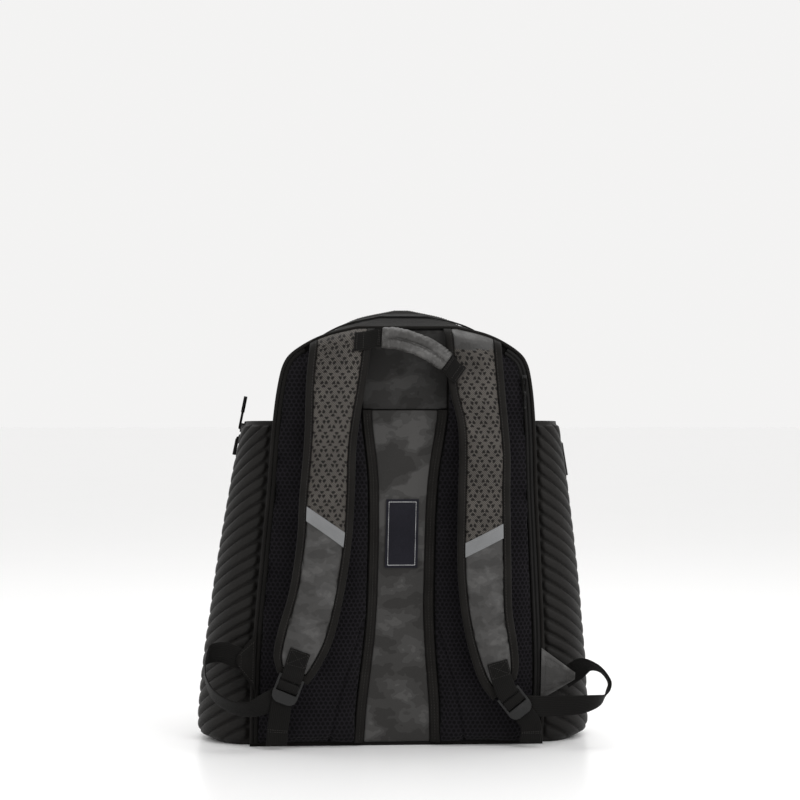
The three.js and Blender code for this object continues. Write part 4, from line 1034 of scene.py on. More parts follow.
def makeEdgeStrip(name, side):
    width = back["strip"][name]
    outer = backEdge(back["pipingRoom"], 0, 0.954)
    inner = backEdge(back["pipingRoom"] + width, 0, 0.954)
    shares = [k / 8 for k in range(9)]
    deep = back["stripThickness"]
    front, rear, uv = [], [], []
    for (x0, z0, up), (x1, z1, _) in zip(outer, inner):
        row = []
        for s in shares:
            crown = 1 - 0.35 * abs(2 * s - 1) ** 4
            if name == "right":
                crown -= 0.3 * math.exp(-((s - 0.5) / 0.1) ** 2)
            row.append((side * lerp(x0, x1, s), -bag["gap"] - deep * crown, lerp(z0, z1, s)))
        front.append(row)
        rear.append(flat(row))
        uv.append([(width * s, z0) for s in shares])
    material = zipCloth if name == "right" else bodyCloth
    piece = slab("edgeStrip" + name.capitalize(), front, rear, uv, material)
    return finish(piece, ["edge_strip_" + name], angle=60)


def flat(row):  # the same row on the board
    return [(x, -bag["gap"], z) for x, _, z in row]


def channelHeights(step, low=bag["foot"], high=None):
    high = high or back["channelTop"]
    count = round((high - low) / step)
    return [lerp(low, high, k / count) for k in range(count + 1)]


def makeChannel():
    shares = [-1 + k / 12 for k in range(25)]
    front, rear, uv = [], [], []
    for z in channelHeights(5.0):
        half = channelHalf(z) - bag["gap"]
        row = []
        for s in shares:
            held = 1 - abs(s) ** 6
            puff = (0.9 * soft(s * half, 0, z * 0.8, 34, 6.0) + 0.35 * soft(s * half, 4, z, 12, 2.0)) * held
            row.append((s * half, -bag["gap"] - back["channelThickness"] + 0.7 - puff * 0.75, z))
        front.append(row)
        rear.append(flat(row))
        uv.append([(p[0], p[2]) for p in row])
    piece = slab("channelPanel", front, rear, uv, camoCloth)
    refine(piece, 1)
    return finish(piece, ["channel_panel"])


def makeYoke():
    half = back["yokeHalf"] - 0.9
    low, high = back["channelTop"] + 1, bag["height"] - back["pipingRoom"] - bag["gap"]
    shares = [-1 + k / 14 for k in range(29)]
    front, rear, uv = [], [], []
    for k in range(31):
        z = lerp(low, high, k / 30)
        row = []
        for s in shares:
            held = (1 - abs(s) ** 8) * min(1, k / 2, (30 - k) / 2)
            fold = 0.9 * soft(s * half * 0.7, 0, z, 26, 9.0) + 0.4 * soft(s * half, 2, z, 11, 1.0)
            lip = 0.9 * math.exp(-((z - low - 2.5) / 1.8) ** 2)
            y = -bag["gap"] - back["channelThickness"] + 0.8 - (fold * held + lip) * 0.7
            row.append((s * half, y, z))
        front.append(row)
        rear.append(flat(row))
        uv.append([(p[0] + 300, p[2]) for p in row])
    piece = slab("yokePanel", front, rear, uv, yokeShadedCloth)
    refine(piece, 1)
    return finish(piece, ["yoke_panel"])


def makeTape(name, side):
    shares = [k / 12 for k in range(13)]
    front, rear, uv = [], [], []
    for z in channelHeights(4.0):
        half = channelHalf(z)
        row = []
        for s in shares:
            height = lerp(back["tapeInner"], back["tapeOuter"], s)
            turned = 1.2 * (max(0, 0.1 - s) / 0.1) ** 2 + 1.6 * (max(0, s - 0.85) / 0.15) ** 2
            seam = 0.5 * sum(math.exp(-((s - at) / 0.04) ** 2) for at in (0.2, 0.5, 0.8))
            y = -bag["gap"] - height + turned + seam + 0.25 * soft(side * 9 * s, 0, z, 9, 3.0)
            row.append((side * (half + s * back["tape"]), y, z))
        front.append(row)
        rear.append(flat(row))
        uv.append([(side * back["tape"] * s, z) for s in shares])
    piece = slab("channelTape" + name.capitalize(), front, rear, uv, bindingCloth)
    finish(piece, ["channel_tape_" + name], angle=60)
    lines = []
    for s in (0.2, 0.5, 0.8):
        height = lerp(back["tapeInner"], back["tapeOuter"], s)
        lines.append(([(side * (channelHalf(z) + s * back["tape"]), -bag["gap"] - height + 0.35, z)
                       for z in channelHeights(6.0, 7.0, back["channelTop"] - 4)], (0, -1, 0)))
    stitches("tapeStitches" + name.capitalize(), lines, threadCloth)


patchSize = {"width": 39.0, "height": 82.0, "inset": 3.2}


def makePatch():
    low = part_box("patch")[0]
    front, rear, uv = [], [], []
    halfW, halfH = patchSize["width"] / 2, patchSize["height"] / 2
    face = 1000 * low.y - offY
    for k in range(29):
        t = -1 + 2 * k / 28
        row = []
        for m in range(15):
            s = -1 + 2 * m / 14
            edge = max(abs(s), abs(t)) ** 14
            y = face + 0.35 * edge - 0.25 * soft(s * halfW, 0, t * halfH, 15, 4.0) * (1 - edge)
            row.append((s * halfW, y, patchMiddle + t * halfH))
        front.append(row)
        rear.append([(p[0], face + 1.15, p[2]) for p in row])
        uv.append([(p[0], p[2]) for p in row])
    piece = slab("wovenPatch", front, rear, uv, patchCloth)
    finish(piece, ["patch"], angle=50)
    corner = (halfW - patchSize["inset"], halfH - patchSize["inset"])
    lines = []
    ring = [(-1, -1), (1, -1), (1, 1), (-1, 1), (-1, -1)]
    for (a, b), (c, d) in zip(ring, ring[1:]):
        lines.append(([(a * corner[0], face, patchMiddle + b * corner[1]),
                       (c * corner[0], face, patchMiddle + d * corner[1])], (0, -1, 0)))
    stitches("patchBorder", lines, borderCloth, 2.0, 0.0, 0.55, 0.18)


for sideName, sideSign in (("left", -1), ("right", 1)):
    makePad(sideName, sideSign)
    makeEdgeStrip(sideName, sideSign)
    makeTape(sideName, sideSign)
makeChannel()
makeYoke()
makePatch()
print("back made")


# Straps, webbing and what is sewn to them. These places are leaned already.


def leaned(x, y, z):
    return Vector((x + offX, y + offY, z)) * 0.001


def lean(x, y, z):
    return Vector((x + bag["lean"] * z / bag["height"], y, z))


strap = {
    "thick": 11.0, "edgeThick": 8.5, "rise": 26.0, "binding": 9.0, "webbing": 25.0, "webThick": 1.6,
    "gap": 0.3, "trim": 0.6, "reflector": 17.0, "rowStep": 5.0, "satinTop": 474,
}
tuck = {"from": 452.0, "to": 0.976, "below": 3.5, "roll": 13, "seat": 6.5, "rearSeat": 4.5}
reflectorTable = {"left": (0.513, 0.575), "right": (0.487, 0.533)}  # inner and outer ends of its upper edge


def strapAt(name, up, across, out):
    table = strapTables[name]
    side = -1 if name == "left" else 1
    inner = bag["backHalf"] * read(table, "inner", up)
    outer = bag["backHalf"] * read(table, "outer", up)
    z = up * bag["height"] + strap["webbing"] * read(table, "tilt", up) * (across - 0.5)
    y = -bag["gap"] - back["padThickness"] - strap["rise"] * read(table, "rise", up) - out
    return lean(side * lerp(inner, outer, across), y, z)


def tucked(point, rear=False):  # the strap's top follows the seam over it and rolls in under it
    z = point.z
    low, high = tuck["from"], tuck["to"] * bag["height"]
    if z <= low:
        return point
    plain = point.x - bag["lean"] * z / bag["height"]
    top = edgeHeight(plain) - tuck["below"]
    share = (z - low) / (high - low)
    lifted = lerp(low, top, share)
    roll = clamp((lifted - (top - tuck["roll"])) / tuck["roll"])
    seat = tuck["rearSeat"] if rear else tuck["seat"]
    y = lerp(-seat, point.y, math.sqrt(1 - roll * roll))
    return Vector((point.x, y, lifted))


def strapWidth(name, up):
    table = strapTables[name]
    return bag["backHalf"] * (read(table, "outer", up) - read(table, "inner", up))


def strapFace(across):
    return lerp(strap["edgeThick"], strap["thick"], smooth(1 - abs(2 * across - 1)))


def strapUps(name, foot, step):
    ups = strapTables[name]["up"]
    low, high = ups[0] + foot / bag["height"], ups[-1]
    count = round((high - low) * bag["height"] / step)
    return [lerp(low, high, k / count) for k in range(count + 1)]


def reflectorTop(name, across):
    inner, outer = reflectorTable[name]
    return lerp(inner, outer, across) * bag["height"]


creases = {"high": 2.2, "long": 26.0, "short": 9.0}


def makeStrap(name):
    side = -1 if name == "left" else 1
    ups = strapUps(name, strap["binding"] + strap["gap"], strap["rowStep"])
    shares = [0, 0.02, 0.06] + [0.06 + 0.88 * k / 12 for k in range(1, 12)] + [0.94, 0.98, 1]
    front, rear, uv = [], [], []
    run = 0.0
    last = None
    for up in ups:
        edge = (strap["binding"] + strap["gap"]) / strapWidth(name, up)
        middle = strapAt(name, up, 0.5, 0)
        run += (middle - last).length if last else 0.0
        last = middle
        rowFront, rowRear, rowUv = [], [], []
        for share in shares:
            across = lerp(edge, 1 - edge, share)
            lip = 2.2 * max(0, 1 - min(share, 1 - share) / 0.06) ** 2
            rowFront.append(tucked(strapAt(name, up, across, strapFace(across) - lip)))
            rowRear.append(tucked(strapAt(name, up, across, 0.8), True))
            rowUv.append((side * (across - 0.5) * strapWidth(name, up), run))
        front.append(rowFront)
        rear.append(rowRear)
        uv.append(rowUv)
    piece = slab("strap" + name.capitalize(), front, rear, uv, strapPrint, leaned)
    piece.data.materials.append(satinCloth)
    piece.data.materials.append(meshCloth)
    low = strapTables[name]["up"][0] * bag["height"]

    def belowReflector(x, z):  # how far below the reflective strip's upper edge, in millimetres
        up = clamp(z / bag["height"], 0, 1)
        table = strapTables[name]
        inner, outer = (bag["backHalf"] * read(table, key, up) for key in ("inner", "outer"))
        plain = (x - bag["lean"] * z / bag["height"]) * side
        return reflectorTop(name, clamp((plain - inner) / (outer - inner))) - z

    def spot(vertex):
        return 1000 * vertex.co.x - offX, 1000 * vertex.co.z

    def held(vertex):
        x, z = spot(vertex)
        below = belowReflector(x, z)
        if -3 < below < strap["reflector"] + 3 or z < low + 42 or z > 470:
            return 1.0
        return 1.0 if vertex.normal.y > -0.6 else 0.0

    relax(piece, held, 1.6, -0.03, cap=2.2)
    refine(piece, 1)
    for vertex in piece.data.vertices:
        x, z = spot(vertex)
        below = belowReflector(x, z)
        facing = smooth((-vertex.normal.y - 0.4) / 0.4)
        free = smooth((below - strap["reflector"] - 4) / 14) * smooth((z - low - 34) / 22)
        above = smooth((-below - 2) / 10) * smooth((468 - z) / 20)
        fold = 1 - abs(soft(x * 0.45 + z * 0.12, 0, z, creases["short"], 3.0)) * 2.6
        wide = soft(x, 0, z * 1.3, creases["long"], 7.0)
        rise = (max(fold, 0) ** 2 * 0.8 + wide * 0.9 - 0.5) * creases["high"] * free
        rise += (wide * 0.8 + 0.3 * soft(x, 0, z, 12, 4.0)) * above
        vertex.co.y -= 0.001 * rise * facing
    for face in piece.data.polygons:
        x, z = 1000 * face.center.x - offX, 1000 * face.center.z
        printed = belowReflector(x, z) < strap["reflector"] * 0.5
        face.material_index = 0 if printed else 1
        if name == "right" and z > strap["satinTop"]:
            face.material_index = 1
        if face.normal.y > 0.3:
            face.material_index = 2
    return finish(piece, ["strap_" + name])


def makeStrapEdge(name):
    foot = strapTables[name]["up"][0]
    ups = strapUps(name, strap["binding"], 4.0)
    shares = [0, 0.015, 0.06, 0.14, 0.26, 0.4, 0.6, 0.8, 0.94, 1]
    deep = strap["edgeThick"]

    def turnedShare(t):
        return math.sqrt(1 - (1 - min(t / 0.4, 1)) ** 2)

    def section(share, thick, seed):
        lump = 0.3 * soft(seed[0], seed[1], seed[2], 9, 5.0)
        lip = 0.6 if share == 1 else 0.0
        seam = 0.45 * math.exp(-((share - 0.8) / 0.07) ** 2)
        if thick:
            return deep * (0.5 + 0.5 * turnedShare(share)) + lump + 0.5 - lip - seam
        return deep * (0.5 - 0.5 * turnedShare(share)) if share < 1 else 0.2

    def row(up, way, thick, corner=False):
        out = []
        for share in shares:
            spot = lerp(foot, ups[0], share) if corner else up
            inset = share * strap["binding"] / strapWidth(name, spot)
            across = 1 - inset if way > 0 else inset
            start = strapAt(name, spot, across, 0)
            out.append(tucked(strapAt(name, spot, across, section(share, thick, start)), not thick))
        return out

    def sheet(thick):
        rows = [row(up, 1, thick) for up in ups[:0:-1]]
        rows += [row(foot, 1, thick, True), row(foot, -1, thick, True)]
        return rows + [row(up, -1, thick) for up in ups[1:]]

    front, rear = sheet(True), sheet(False)
    run = lengths([tuple(r[5]) for r in front])
    uv = [[(strap["binding"] * s, r) for s in shares] for r in run]
    piece = slab("strapEdge" + name.capitalize(), front, rear, uv, bindingCloth, leaned)
    finish(piece, ["strap_edge_" + name])
    lines = []
    for way in (1, -1):
        line = []
        for up in ups[2:]:
            inset = 0.8 * strap["binding"] / strapWidth(name, up)
            line.append(tuple(tucked(strapAt(name, up, 1 - inset if way > 0 else inset, deep + 0.25))))
        lines.append((line, (0, -1, 0)))
    stitches("strapStitches" + name.capitalize(), lines, threadCloth, put=leaned)


def makeReflector(name):
    inner, outer = reflectorTable[name]
    front, rear, uv = [], [], []
    for k in range(13):
        down = k / 12
        rowFront, rowRear, rowUv = [], [], []
        for m in range(21):
            c = m / 20
            up = lerp(inner, outer, c) - down * strap["reflector"] / bag["height"]
            edge = (strap["binding"] + strap["gap"]) / strapWidth(name, up)
            across = lerp(edge, 1 - edge, c)
            hem = 0.35 * (abs(2 * down - 1) > 0.95)
            seam = 0.3 * math.exp(-((min(down, 1 - down) - 0.14) / 0.05) ** 2)
            lift = strap["trim"] + 0.9 - hem - seam + 0.15 * soft(m * 3, 0, k * 2, 7, 2.0)
            rowFront.append(strapAt(name, up, across, strapFace(across) + lift))
            rowRear.append(strapAt(name, up, across, strapFace(across) - 0.4))
            rowUv.append((c * strapWidth(name, up), down * strap["reflector"]))
        front.append(rowFront)
        rear.append(rowRear)
        uv.append(rowUv)
    piece = slab("reflector" + name.capitalize(), front, rear, uv, reflective, leaned)
    finish(piece, ["reflector_" + name], angle=50)
    lines = []
    for k in (2, 10):
        lines.append(([tuple(p + Vector((0, -0.1, 0))) for p in front[k]], (0, -1, 0)))
    stitches("reflectorStitches" + name.capitalize(), lines, paleThread, 2.2, 1.0, 0.3, 0.15,
             leaned)


def curvePoint(points, t):  # a smooth curve through points, at an even share of their spans
    spans = len(points) - 1
    i = min(int(t * spans), spans - 1)
    w = t * spans - i
    b, c = points[i], points[i + 1]
    a = points[i - 1] if i else b * 2 - c
    d = points[i + 2] if i + 2 <= spans else c * 2 - b
    steps = [max((q - p).length ** 0.5, 1e-4) for p, q in ((a, b), (b, c), (c, d))]
    enter = ((b - a) / steps[0] - (c - a) / (steps[0] + steps[1]) + (c - b) / steps[1]) * steps[1]
    leave = ((c - b) / steps[1] - (d - b) / (steps[1] + steps[2]) + (d - c) / steps[2]) * steps[1]
    w2, w3 = w * w, w ** 3
    start = (2 * w3 - 3 * w2 + 1) * b + (w3 - 2 * w2 + w) * enter
    return start + (3 * w2 - 2 * w3) * c + (w3 - w2) * leave


def curveWay(points, t):
    return (curvePoint(points, min(t + 1e-4, 1)) - curvePoint(points, max(t - 1e-4, 0))).normalized()


def makeRibbon(name, stops, width, thick, perSpan, nodes):
    points = [stop[0] for stop in stops]
    spans = len(points) - 1
    count = spans * perSpan
    shares = [-0.5, -0.485, -0.44, -0.25, 0, 0.25, 0.44, 0.485, 0.5]
    front, rear, uv = [], [], []
    run, last = 0.0, None
    for k in range(count + 1):
        t = k / count
        i = min(int(t * spans), spans - 1)
        way = curveWay(points, t)
        wide = stops[i][1].lerp(stops[i + 1][1], t * spans - i)
        normal = way.cross(wide).normalized()
        across = normal.cross(way).normalized()
        middle = curvePoint(points, t)
        run += (middle - last).length if last else 0.0
        last = middle
        rowFront, rowRear, rowUv = [], [], []
        for s in shares:
            half = 0.5 * thick * (1 - 0.75 * (abs(2 * s) ** 24))
            wave = 0.12 * soft(s * width, 0, run, 16, 3.0)
            rowFront.append(middle + across * s * width + normal * (half + wave))
            rowRear.append(middle + across * s * width - normal * (half - wave))
            rowUv.append((s * width, run))
        front.append(rowFront)
        rear.append(rowRear)
        uv.append(rowUv)
    piece = slab(name, front, rear, uv, webCloth, leaned)
    finish(piece, nodes, angle=70)
    return front, rear


lock = {
    "width": 31.0, "thick": 3.0, "top": 12.5, "bottom": 12.0, "tab": 9.0, "slot": 5.0, "upper": 4.0,
    "middle": 6.0, "rail": 2.6, "clearance": 1.3,
    "left": {"turn": -0.38, "drop": 0.75, "shift": -0.057},
    "right": {"turn": 0.665, "drop": 1.264, "shift": 0},
}
webOut = lock["thick"] / 2 + strap["webThick"] / 2 + strap["gap"]


def lockFrame(name):
    at = lock[name]
    upward = Vector((-math.sin(at["turn"]), 0, math.cos(at["turn"])))
    outward = Vector((0, -1, 0))
    across = upward.cross(outward)
    stand = strap["edgeThick"] + lock["clearance"] + strap["webThick"] / 2 + webOut
    spot = strapAt(name, strapTables[name]["up"][0], 0.5, stand)
    spot += upward * (-at["drop"] * lock["top"]) + across * (at["shift"] * lock["width"])
    return spot, across, upward, outward


def lockAt(name, up, out):
    spot, _, upward, outward = lockFrame(name)
    return spot + upward * up + outward * out


def makeAnchor(name):
    wide = lockFrame(name)[1]
    low = strapTables[name]["up"][0]
    bar = lock["top"] - lock["upper"]
    stops = [(strapAt(name, low + k, 0.5, strap["thick"] + strap["trim"] + strap["webThick"] / 2), wide)
             for k in (0.068, 0.048, 0.028)]
    stops += [(lockAt(name, up, out), wide) for up, out in (
        (lock["top"] + 1.5, webOut + 0.4), (bar + 2, webOut + 0.3), (bar - 0.3, webOut), (bar - 1.4, 1),
        (bar - 1.4, -1), (bar - 0.3, -webOut), (lock["top"], -webOut - 0.2))]
    front, rear = makeRibbon("strapAnchor" + name.capitalize(), stops, strap["webbing"], strap["webThick"], 8,
                             ["strap_anchor_" + name])
    outer = front if front[0][4].y < rear[0][4].y else rear
    rows = [outer[k] for k in range(1, 15)]
    corner = [rows[0][2], rows[0][6], rows[-1][6], rows[-1][2]]
    lift = Vector((0, -0.15, 0))
    pairs = [(0, 1), (1, 2), (2, 3), (3, 0), (0, 2), (1, 3)]
    lines = [([tuple(lerp(corner[a], corner[b], k / 6) + lift) for k in range(7)], (0, -1, 0))
             for a, b in pairs]
    stitches("anchorStitches" + name.capitalize(), lines, threadCloth, 1.9, 0.7, 0.35, 0.3, leaned)


tabTable = {
    "left": {"high": 0.272, "low": 0.131, "tipOut": 1.102, "tipUp": 0.207},
    "right": {"high": 0.231, "low": 0.107, "tipOut": 1.21, "tipUp": 0.163},
}
tabSizes = {"thick": 2.4, "tipHalf": 4.0, "back": -2 * bag["gap"] - back["stripThickness"]}
standOut = back["padThickness"] + bag["gap"] + strap["rise"]
# Shares of the webbing's width from the tab's tip, and the way that the width points
rootStops = {
    "left": [(0.4, -0.04, (0, 0, -1)), (-0.12, 0.16, (0, 0, -1))],
    "right": [(0.56, -0.16, (-0.5, 0, 0.85)), (0, 0.2, (-0.5, -0.1, 0.85))],
}
# Shares of the back's half width, of the strap's stand and of the height, and the way of the width
loopStops = {
    "left": [
        (-1.193, 0.105, 0.225, (0, 0.1, -1)), (-1.273, 0.237, 0.223, (0, 0.4, -1)),
        (-1.313, 0.526, 0.205, (-0.2, 0.9, -0.6)), (-1.301, 0.842, 0.171, (-0.1, 1, -0.2)),
        (-1.244, 1, 0.135, (-0.2, 0.9, -0.5)), (-1.125, 1, 0.107, (-0.2, 0.8, -0.7)),
        (-1.006, 0.895, 0.099, (0, 0.6, -0.8)), (-0.898, 0.816, 0.111, (0.4, 0.2, -0.9)),
    ],
    "right": [
        (1.273, 0.263, 0.191, (-0.3, -0.6, 0.7)), (1.364, 0.579, 0.183, (0, -1, 0.3)),
        (1.42, 0.842, 0.153, (0, -1, 0.1)), (1.381, 1, 0.121, (0.2, -0.8, 0.6)),
        (1.244, 1, 0.105, (0, -0.4, 0.9)), (1.091, 0.895, 0.101, (0, -0.1, 1)),
        (0.955, 0.816, 0.099, (0.1, 0, 1)),
    ],
}
tailStops = {
    "left": [(-0.801, 0.842, 0.084, (1, 0, 0)), (-0.813, 0.789, 0.048, (1, 0.05, 0)),
             (-0.818, 0.684, 0.01, (1, 0.1, 0.06))],
    "right": [(0.886, 0.868, 0.062, (0.9, 0, 0.45)), (0.898, 0.842, 0.04, (1, 0, 0.2)),
              (0.892, 0.711, 0.012, (1, 0, 0.05))],
}


def makeAdjuster(name):
    side = -1 if name == "left" else 1
    wide = lockFrame(name)[1]
    upper = lock["top"] - lock["upper"] - lock["slot"]
    lower = upper - lock["middle"]
    behind = webOut + strap["webThick"] + 2 * bag["gap"]
    tab = tabTable[name]
    y = tabSizes["back"] + bag["piping"] + strap["trim"] + strap["webThick"] / 2
    stops = [(lean(side * (tab["tipOut"] * bag["backHalf"] - inward * strap["webbing"]), y,
                   tab["tipUp"] * bag["height"] + rise * strap["webbing"]), Vector(way))
             for inward, rise, way in rootStops[name]]
    route = [[(lean(out * bag["backHalf"], -stand * standOut, up * bag["height"]), Vector(way))
              for out, stand, up, way in table[name]] for table in (loopStops, tailStops)]
    through = [(lockAt(name, up, out), wide) for up, out in (
        (lower - 3, -behind - 0.6), (upper - 1, -behind + 0.4), (upper + 1.3, -1.8), (upper + 1.4, 1.6),
        (upper - 0.4, webOut + 0.5), (lower + 0.4, webOut + 0.5), (lower - 1.7, 1.6), (lower - 2.9, -1.6),
        (lower - lock["slot"] - 0.7, -webOut - 0.3), (-lock["bottom"] - lock["tab"], -webOut - 0.2))]
    front, rear = makeRibbon("adjuster" + name.capitalize(), stops + route[0] + through + route[1],
                             strap["webbing"], strap["webThick"], 8, ["adjuster_" + name])
    outer = front if front[-1][4].y < rear[-1][4].y else rear
    lines = []
    for k in (-9, -8):
        lines.append(([tuple(p + Vector((0, -0.25, 0))) for p in outer[k][1:-1]], (0, -1, 0)))
    stitches("tailStitches" + name.capitalize(), lines, threadCloth, 2.0, 0.8, 0.4, 0.3, leaned)


def cornersSheet(corners, rows, columns, bulge):
    (a, b), (c, d) = corners
    sheet = []
    for r in range(rows + 1):
        v = r / rows
        start, end = a.lerp(c, v), b.lerp(d, v)
        sheet.append([start.lerp(end, k / columns) + bulge(v, k / columns) for k in range(columns + 1)])
    return sheet


def makeSideTab(name):
    side = -1 if name == "left" else 1
    tab = tabTable[name]
    seam = side * (bag["backHalf"] - back["pipingRoom"])
    tip = side * tab["tipOut"] * bag["backHalf"]
    y, height = tabSizes["back"], bag["height"]
    corners = [(lean(seam, y, tab["high"] * height), lean(seam, y, tab["low"] * height)),
               (lean(tip, y + bag["piping"], tab["tipUp"] * height + tabSizes["tipHalf"]),
                lean(tip, y + bag["piping"], tab["tipUp"] * height - tabSizes["tipHalf"]))]

    def face(v, u):
        held = min(u, 1 - u, v + 0.05, 1 - v) * 4
        puff = smooth(held) * (0.7 + 0.9 * soft(v * 40, 0, u * 60, 14, 6.0 + side))
        return Vector((0, -tabSizes["thick"] + 0.7 * (1 - smooth(held * 3)) - puff, 0))

    front = cornersSheet(corners, 16, 24, face)
    rear = cornersSheet(corners, 16, 24, lambda v, u: Vector((0, 0, 0)))
    uv = [[(p.x, p.z) for p in row] for row in front]
    material = satinCloth if side > 0 else bodyCloth
    piece = slab("sideTab" + name.capitalize(), front, rear, uv, material, leaned)
    finish(piece, ["side_tab_" + name], angle=60)
    lift = Vector((0, -0.2, 0))
    inner = [[front[r][c] + lift for r, c in spots] for spots in (
        [(r, 3) for r in range(1, 15)], [(r, 21) for r in range(1, 15)], [(2, c) for c in range(3, 22)],
        [(12, c) for c in range(4, 21)])]
    stitches("tabStitches" + name.capitalize(), [([tuple(p) for p in line], (0, -1, 0)) for line in inner],
             threadCloth, 2.2, 0.9, 0.38, 0.3, leaned)


for sideName in ("left", "right"):
    makeStrap(sideName)
    makeStrapEdge(sideName)
    makeReflector(sideName)
    makeAnchor(sideName)
    makeAdjuster(sideName)
    makeSideTab(sideName)
print("straps made")


# The grab handle and its webbing ends
handle = {
    "line": [(-0.176, 0.71, 0.97), (-0.08, 0.868, 0.968), (0.045, 0.947, 0.956), (0.17, 0.92, 0.936),
             (0.267, 0.8, 0.912)],
    "roll": 14.0, "apart": 0.9, "wrap": 5.3, "tab": 22.0, "tabThick": 2.4, "steps": 96, "sides": 18,
    "seats": {"left": [(0.964, 0.1), (0.96, 0.3)], "right": [(0.892, 0.1), (0.881, 0.22)]},
}
handleLine = [lean(out * bag["backHalf"], -stand * standOut, up * bag["height"])
              for out, stand, up in handle["line"]]


def makeHandle():
    rings, uv = [], []
    outward = Vector((0, -1, 0))
    for i in range(handle["steps"] + 1):
        t = i / handle["steps"]
        middle = curvePoint(handleLine, t)
        wide = outward.cross(curveWay(handleLine, t)).normalized()
        fromEnd = min(t, 1 - t)
        pinch = 0.15 * (1 - smooth(fromEnd / 0.06))
        ring, row = [], []
        for sign in (1, -1):
            for k in range(handle["sides"]):
                turn = sign * handle["wrap"] * (k / (handle["sides"] - 1) - 0.5)
                gather = 0.5 + 0.5 * math.exp(-fromEnd / 0.1)
                fold = abs(soft(t * 130, turn * 2.2, sign * 9, 6.5, 4.0))
                swell = 0.06 * soft(t * 80, sign * 30, 0, 14, 2.0)
                radius = handle["roll"] / 2 * (1 - pinch - 0.42 * fold * gather + swell)
                offset = sign * (handle["apart"] * handle["roll"] / 2 + radius * math.cos(turn))
                ring.append(tuple(middle + wide * offset + outward * radius * math.sin(turn)))
                row.append((t * 92, sign * (turn + 4) * handle["roll"] / 2))
        rings.append(ring)
        uv.append(row)
    piece = tube("grabHandle", rings, uv, handleLitCloth, leaned)
    refine(piece, 1)
    return finish(piece, ["grab_handle"])


def makeHandleTab(name):
    start = 0 if name == "left" else 1
    way = curveWay(handleLine, start) * (1 if start else -1)
    wide = way.cross(Vector((0, 1 if start else -1, 0))).normalized()
    stops = [(curvePoint(handleLine, start) + way * far, wide) for far in (strap["trim"], handle["tab"] / 4)]
    half = handle["tab"] / 2 / bag["height"]
    for up, across in handle["seats"][name]:
        face = strapFace(across + 0.05) + strap["trim"] + handle["tabThick"] / 2
        slope = strapAt(name, up + half, across, face) - strapAt(name, up - half, across, face)
        stops.append((strapAt(name, up, across, face), Vector((wide.x, wide.z * slope.y / slope.z, wide.z))))
    front, rear, uv = [], [], []
    run = 0.0
    for i in range(len(stops) - 1):
        for k in range(6 if i < len(stops) - 2 else 7):
            t = k / 6
            spot = stops[i][0].lerp(stops[i + 1][0], t)
            broad = stops[i][1].lerp(stops[i + 1][1], t)
            step = stops[i + 1][0] - stops[i][0]
            normal = step.cross(broad).normalized()
            rowFront, rowRear, rowUv = [], [], []
            for m in range(13):
                s = m / 12 - 0.5
                edge = 1 - 0.6 * abs(2 * s) ** 16
                wave = 0.25 * soft(s * 22, run + t * step.length, 0, 8, 3.0)
                thick = handle["tabThick"] / 2 * edge
                rowFront.append(spot + broad * s * handle["tab"] + normal * (thick + wave))
                rowRear.append(spot + broad * s * handle["tab"] - normal * thick)
                rowUv.append((s * handle["tab"], run + t * step.length))
            front.append(rowFront)
            rear.append(rowRear)
            uv.append(rowUv)
        run += (stops[i + 1][0] - stops[i][0]).length
    piece = slab("handleTab" + name.capitalize(), front, rear, uv, webCloth, leaned)
    finish(piece, ["handle_tab_" + name], angle=60)
    outer = front if front[2][6].y < rear[2][6].y else rear
    lift = Vector((0, -0.2, 0))
    lines = [([tuple(p + lift) for p in outer[k][1:-1]], (0, -1, 0)) for k in (2, 4, -5, -2)]
    stitches("handleStitches" + name.capitalize(), lines, threadCloth, 2.0, 0.8, 0.4, 0.3, leaned)


makeHandle()
for sideName in ("left", "right"):
    makeHandleTab(sideName)
print("handle made")


# Hard pieces, shaped in edit mode


def pick(piece, test, kind="VERT"):
    bpy.ops.object.mode_set(mode="OBJECT")
    for items in (piece.data.vertices, piece.data.edges, piece.data.polygons):
        items.foreach_set("select", [False] * len(items))
    items = {"VERT": piece.data.vertices, "EDGE": piece.data.edges, "FACE": piece.data.polygons}[kind]
    for item in items:
        item.select = bool(test(item))
    bpy.ops.object.mode_set(mode="EDIT")
    bpy.ops.mesh.select_mode(type=kind)


def begin(name):
    piece = bpy.context.object
    piece.name = name
    bpy.ops.object.transform_apply(location=True, rotation=True, scale=True)
    bpy.ops.object.mode_set(mode="EDIT")
    bpy.ops.mesh.select_all(action="DESELECT")
    return piece


def done(piece, material, bevel=0.0, segments=2, smoothAngle=40):
    bpy.ops.object.mode_set(mode="EDIT")
    bpy.ops.mesh.select_all(action="SELECT")
    bpy.ops.mesh.remove_doubles(threshold=0.00001)
    bpy.ops.mesh.normals_make_consistent(inside=False)
    bpy.ops.object.mode_set(mode="OBJECT")
    if bevel:
        edge = piece.modifiers.new("edge", "BEVEL")
        edge.width = bevel
        edge.segments = segments
        edge.limit_method = "ANGLE"
        edge.angle_limit = math.radians(35)
        bpy.ops.object.modifier_apply(modifier=edge.name)
    bpy.ops.object.shade_smooth_by_angle(angle=math.radians(smoothAngle))
    piece.data.materials.append(material)
    piece.select_set(False)


def settle(piece, frameMatrix):  # from its own bench place into the bag
    piece.data.transform(frameMatrix)
    piece.data.update()


def benchFrame(spot, across, depth, upward):
    matrix = Matrix((across, depth, upward)).transposed().to_4x4()
    matrix.translation = leaned(*spot)
    return matrix


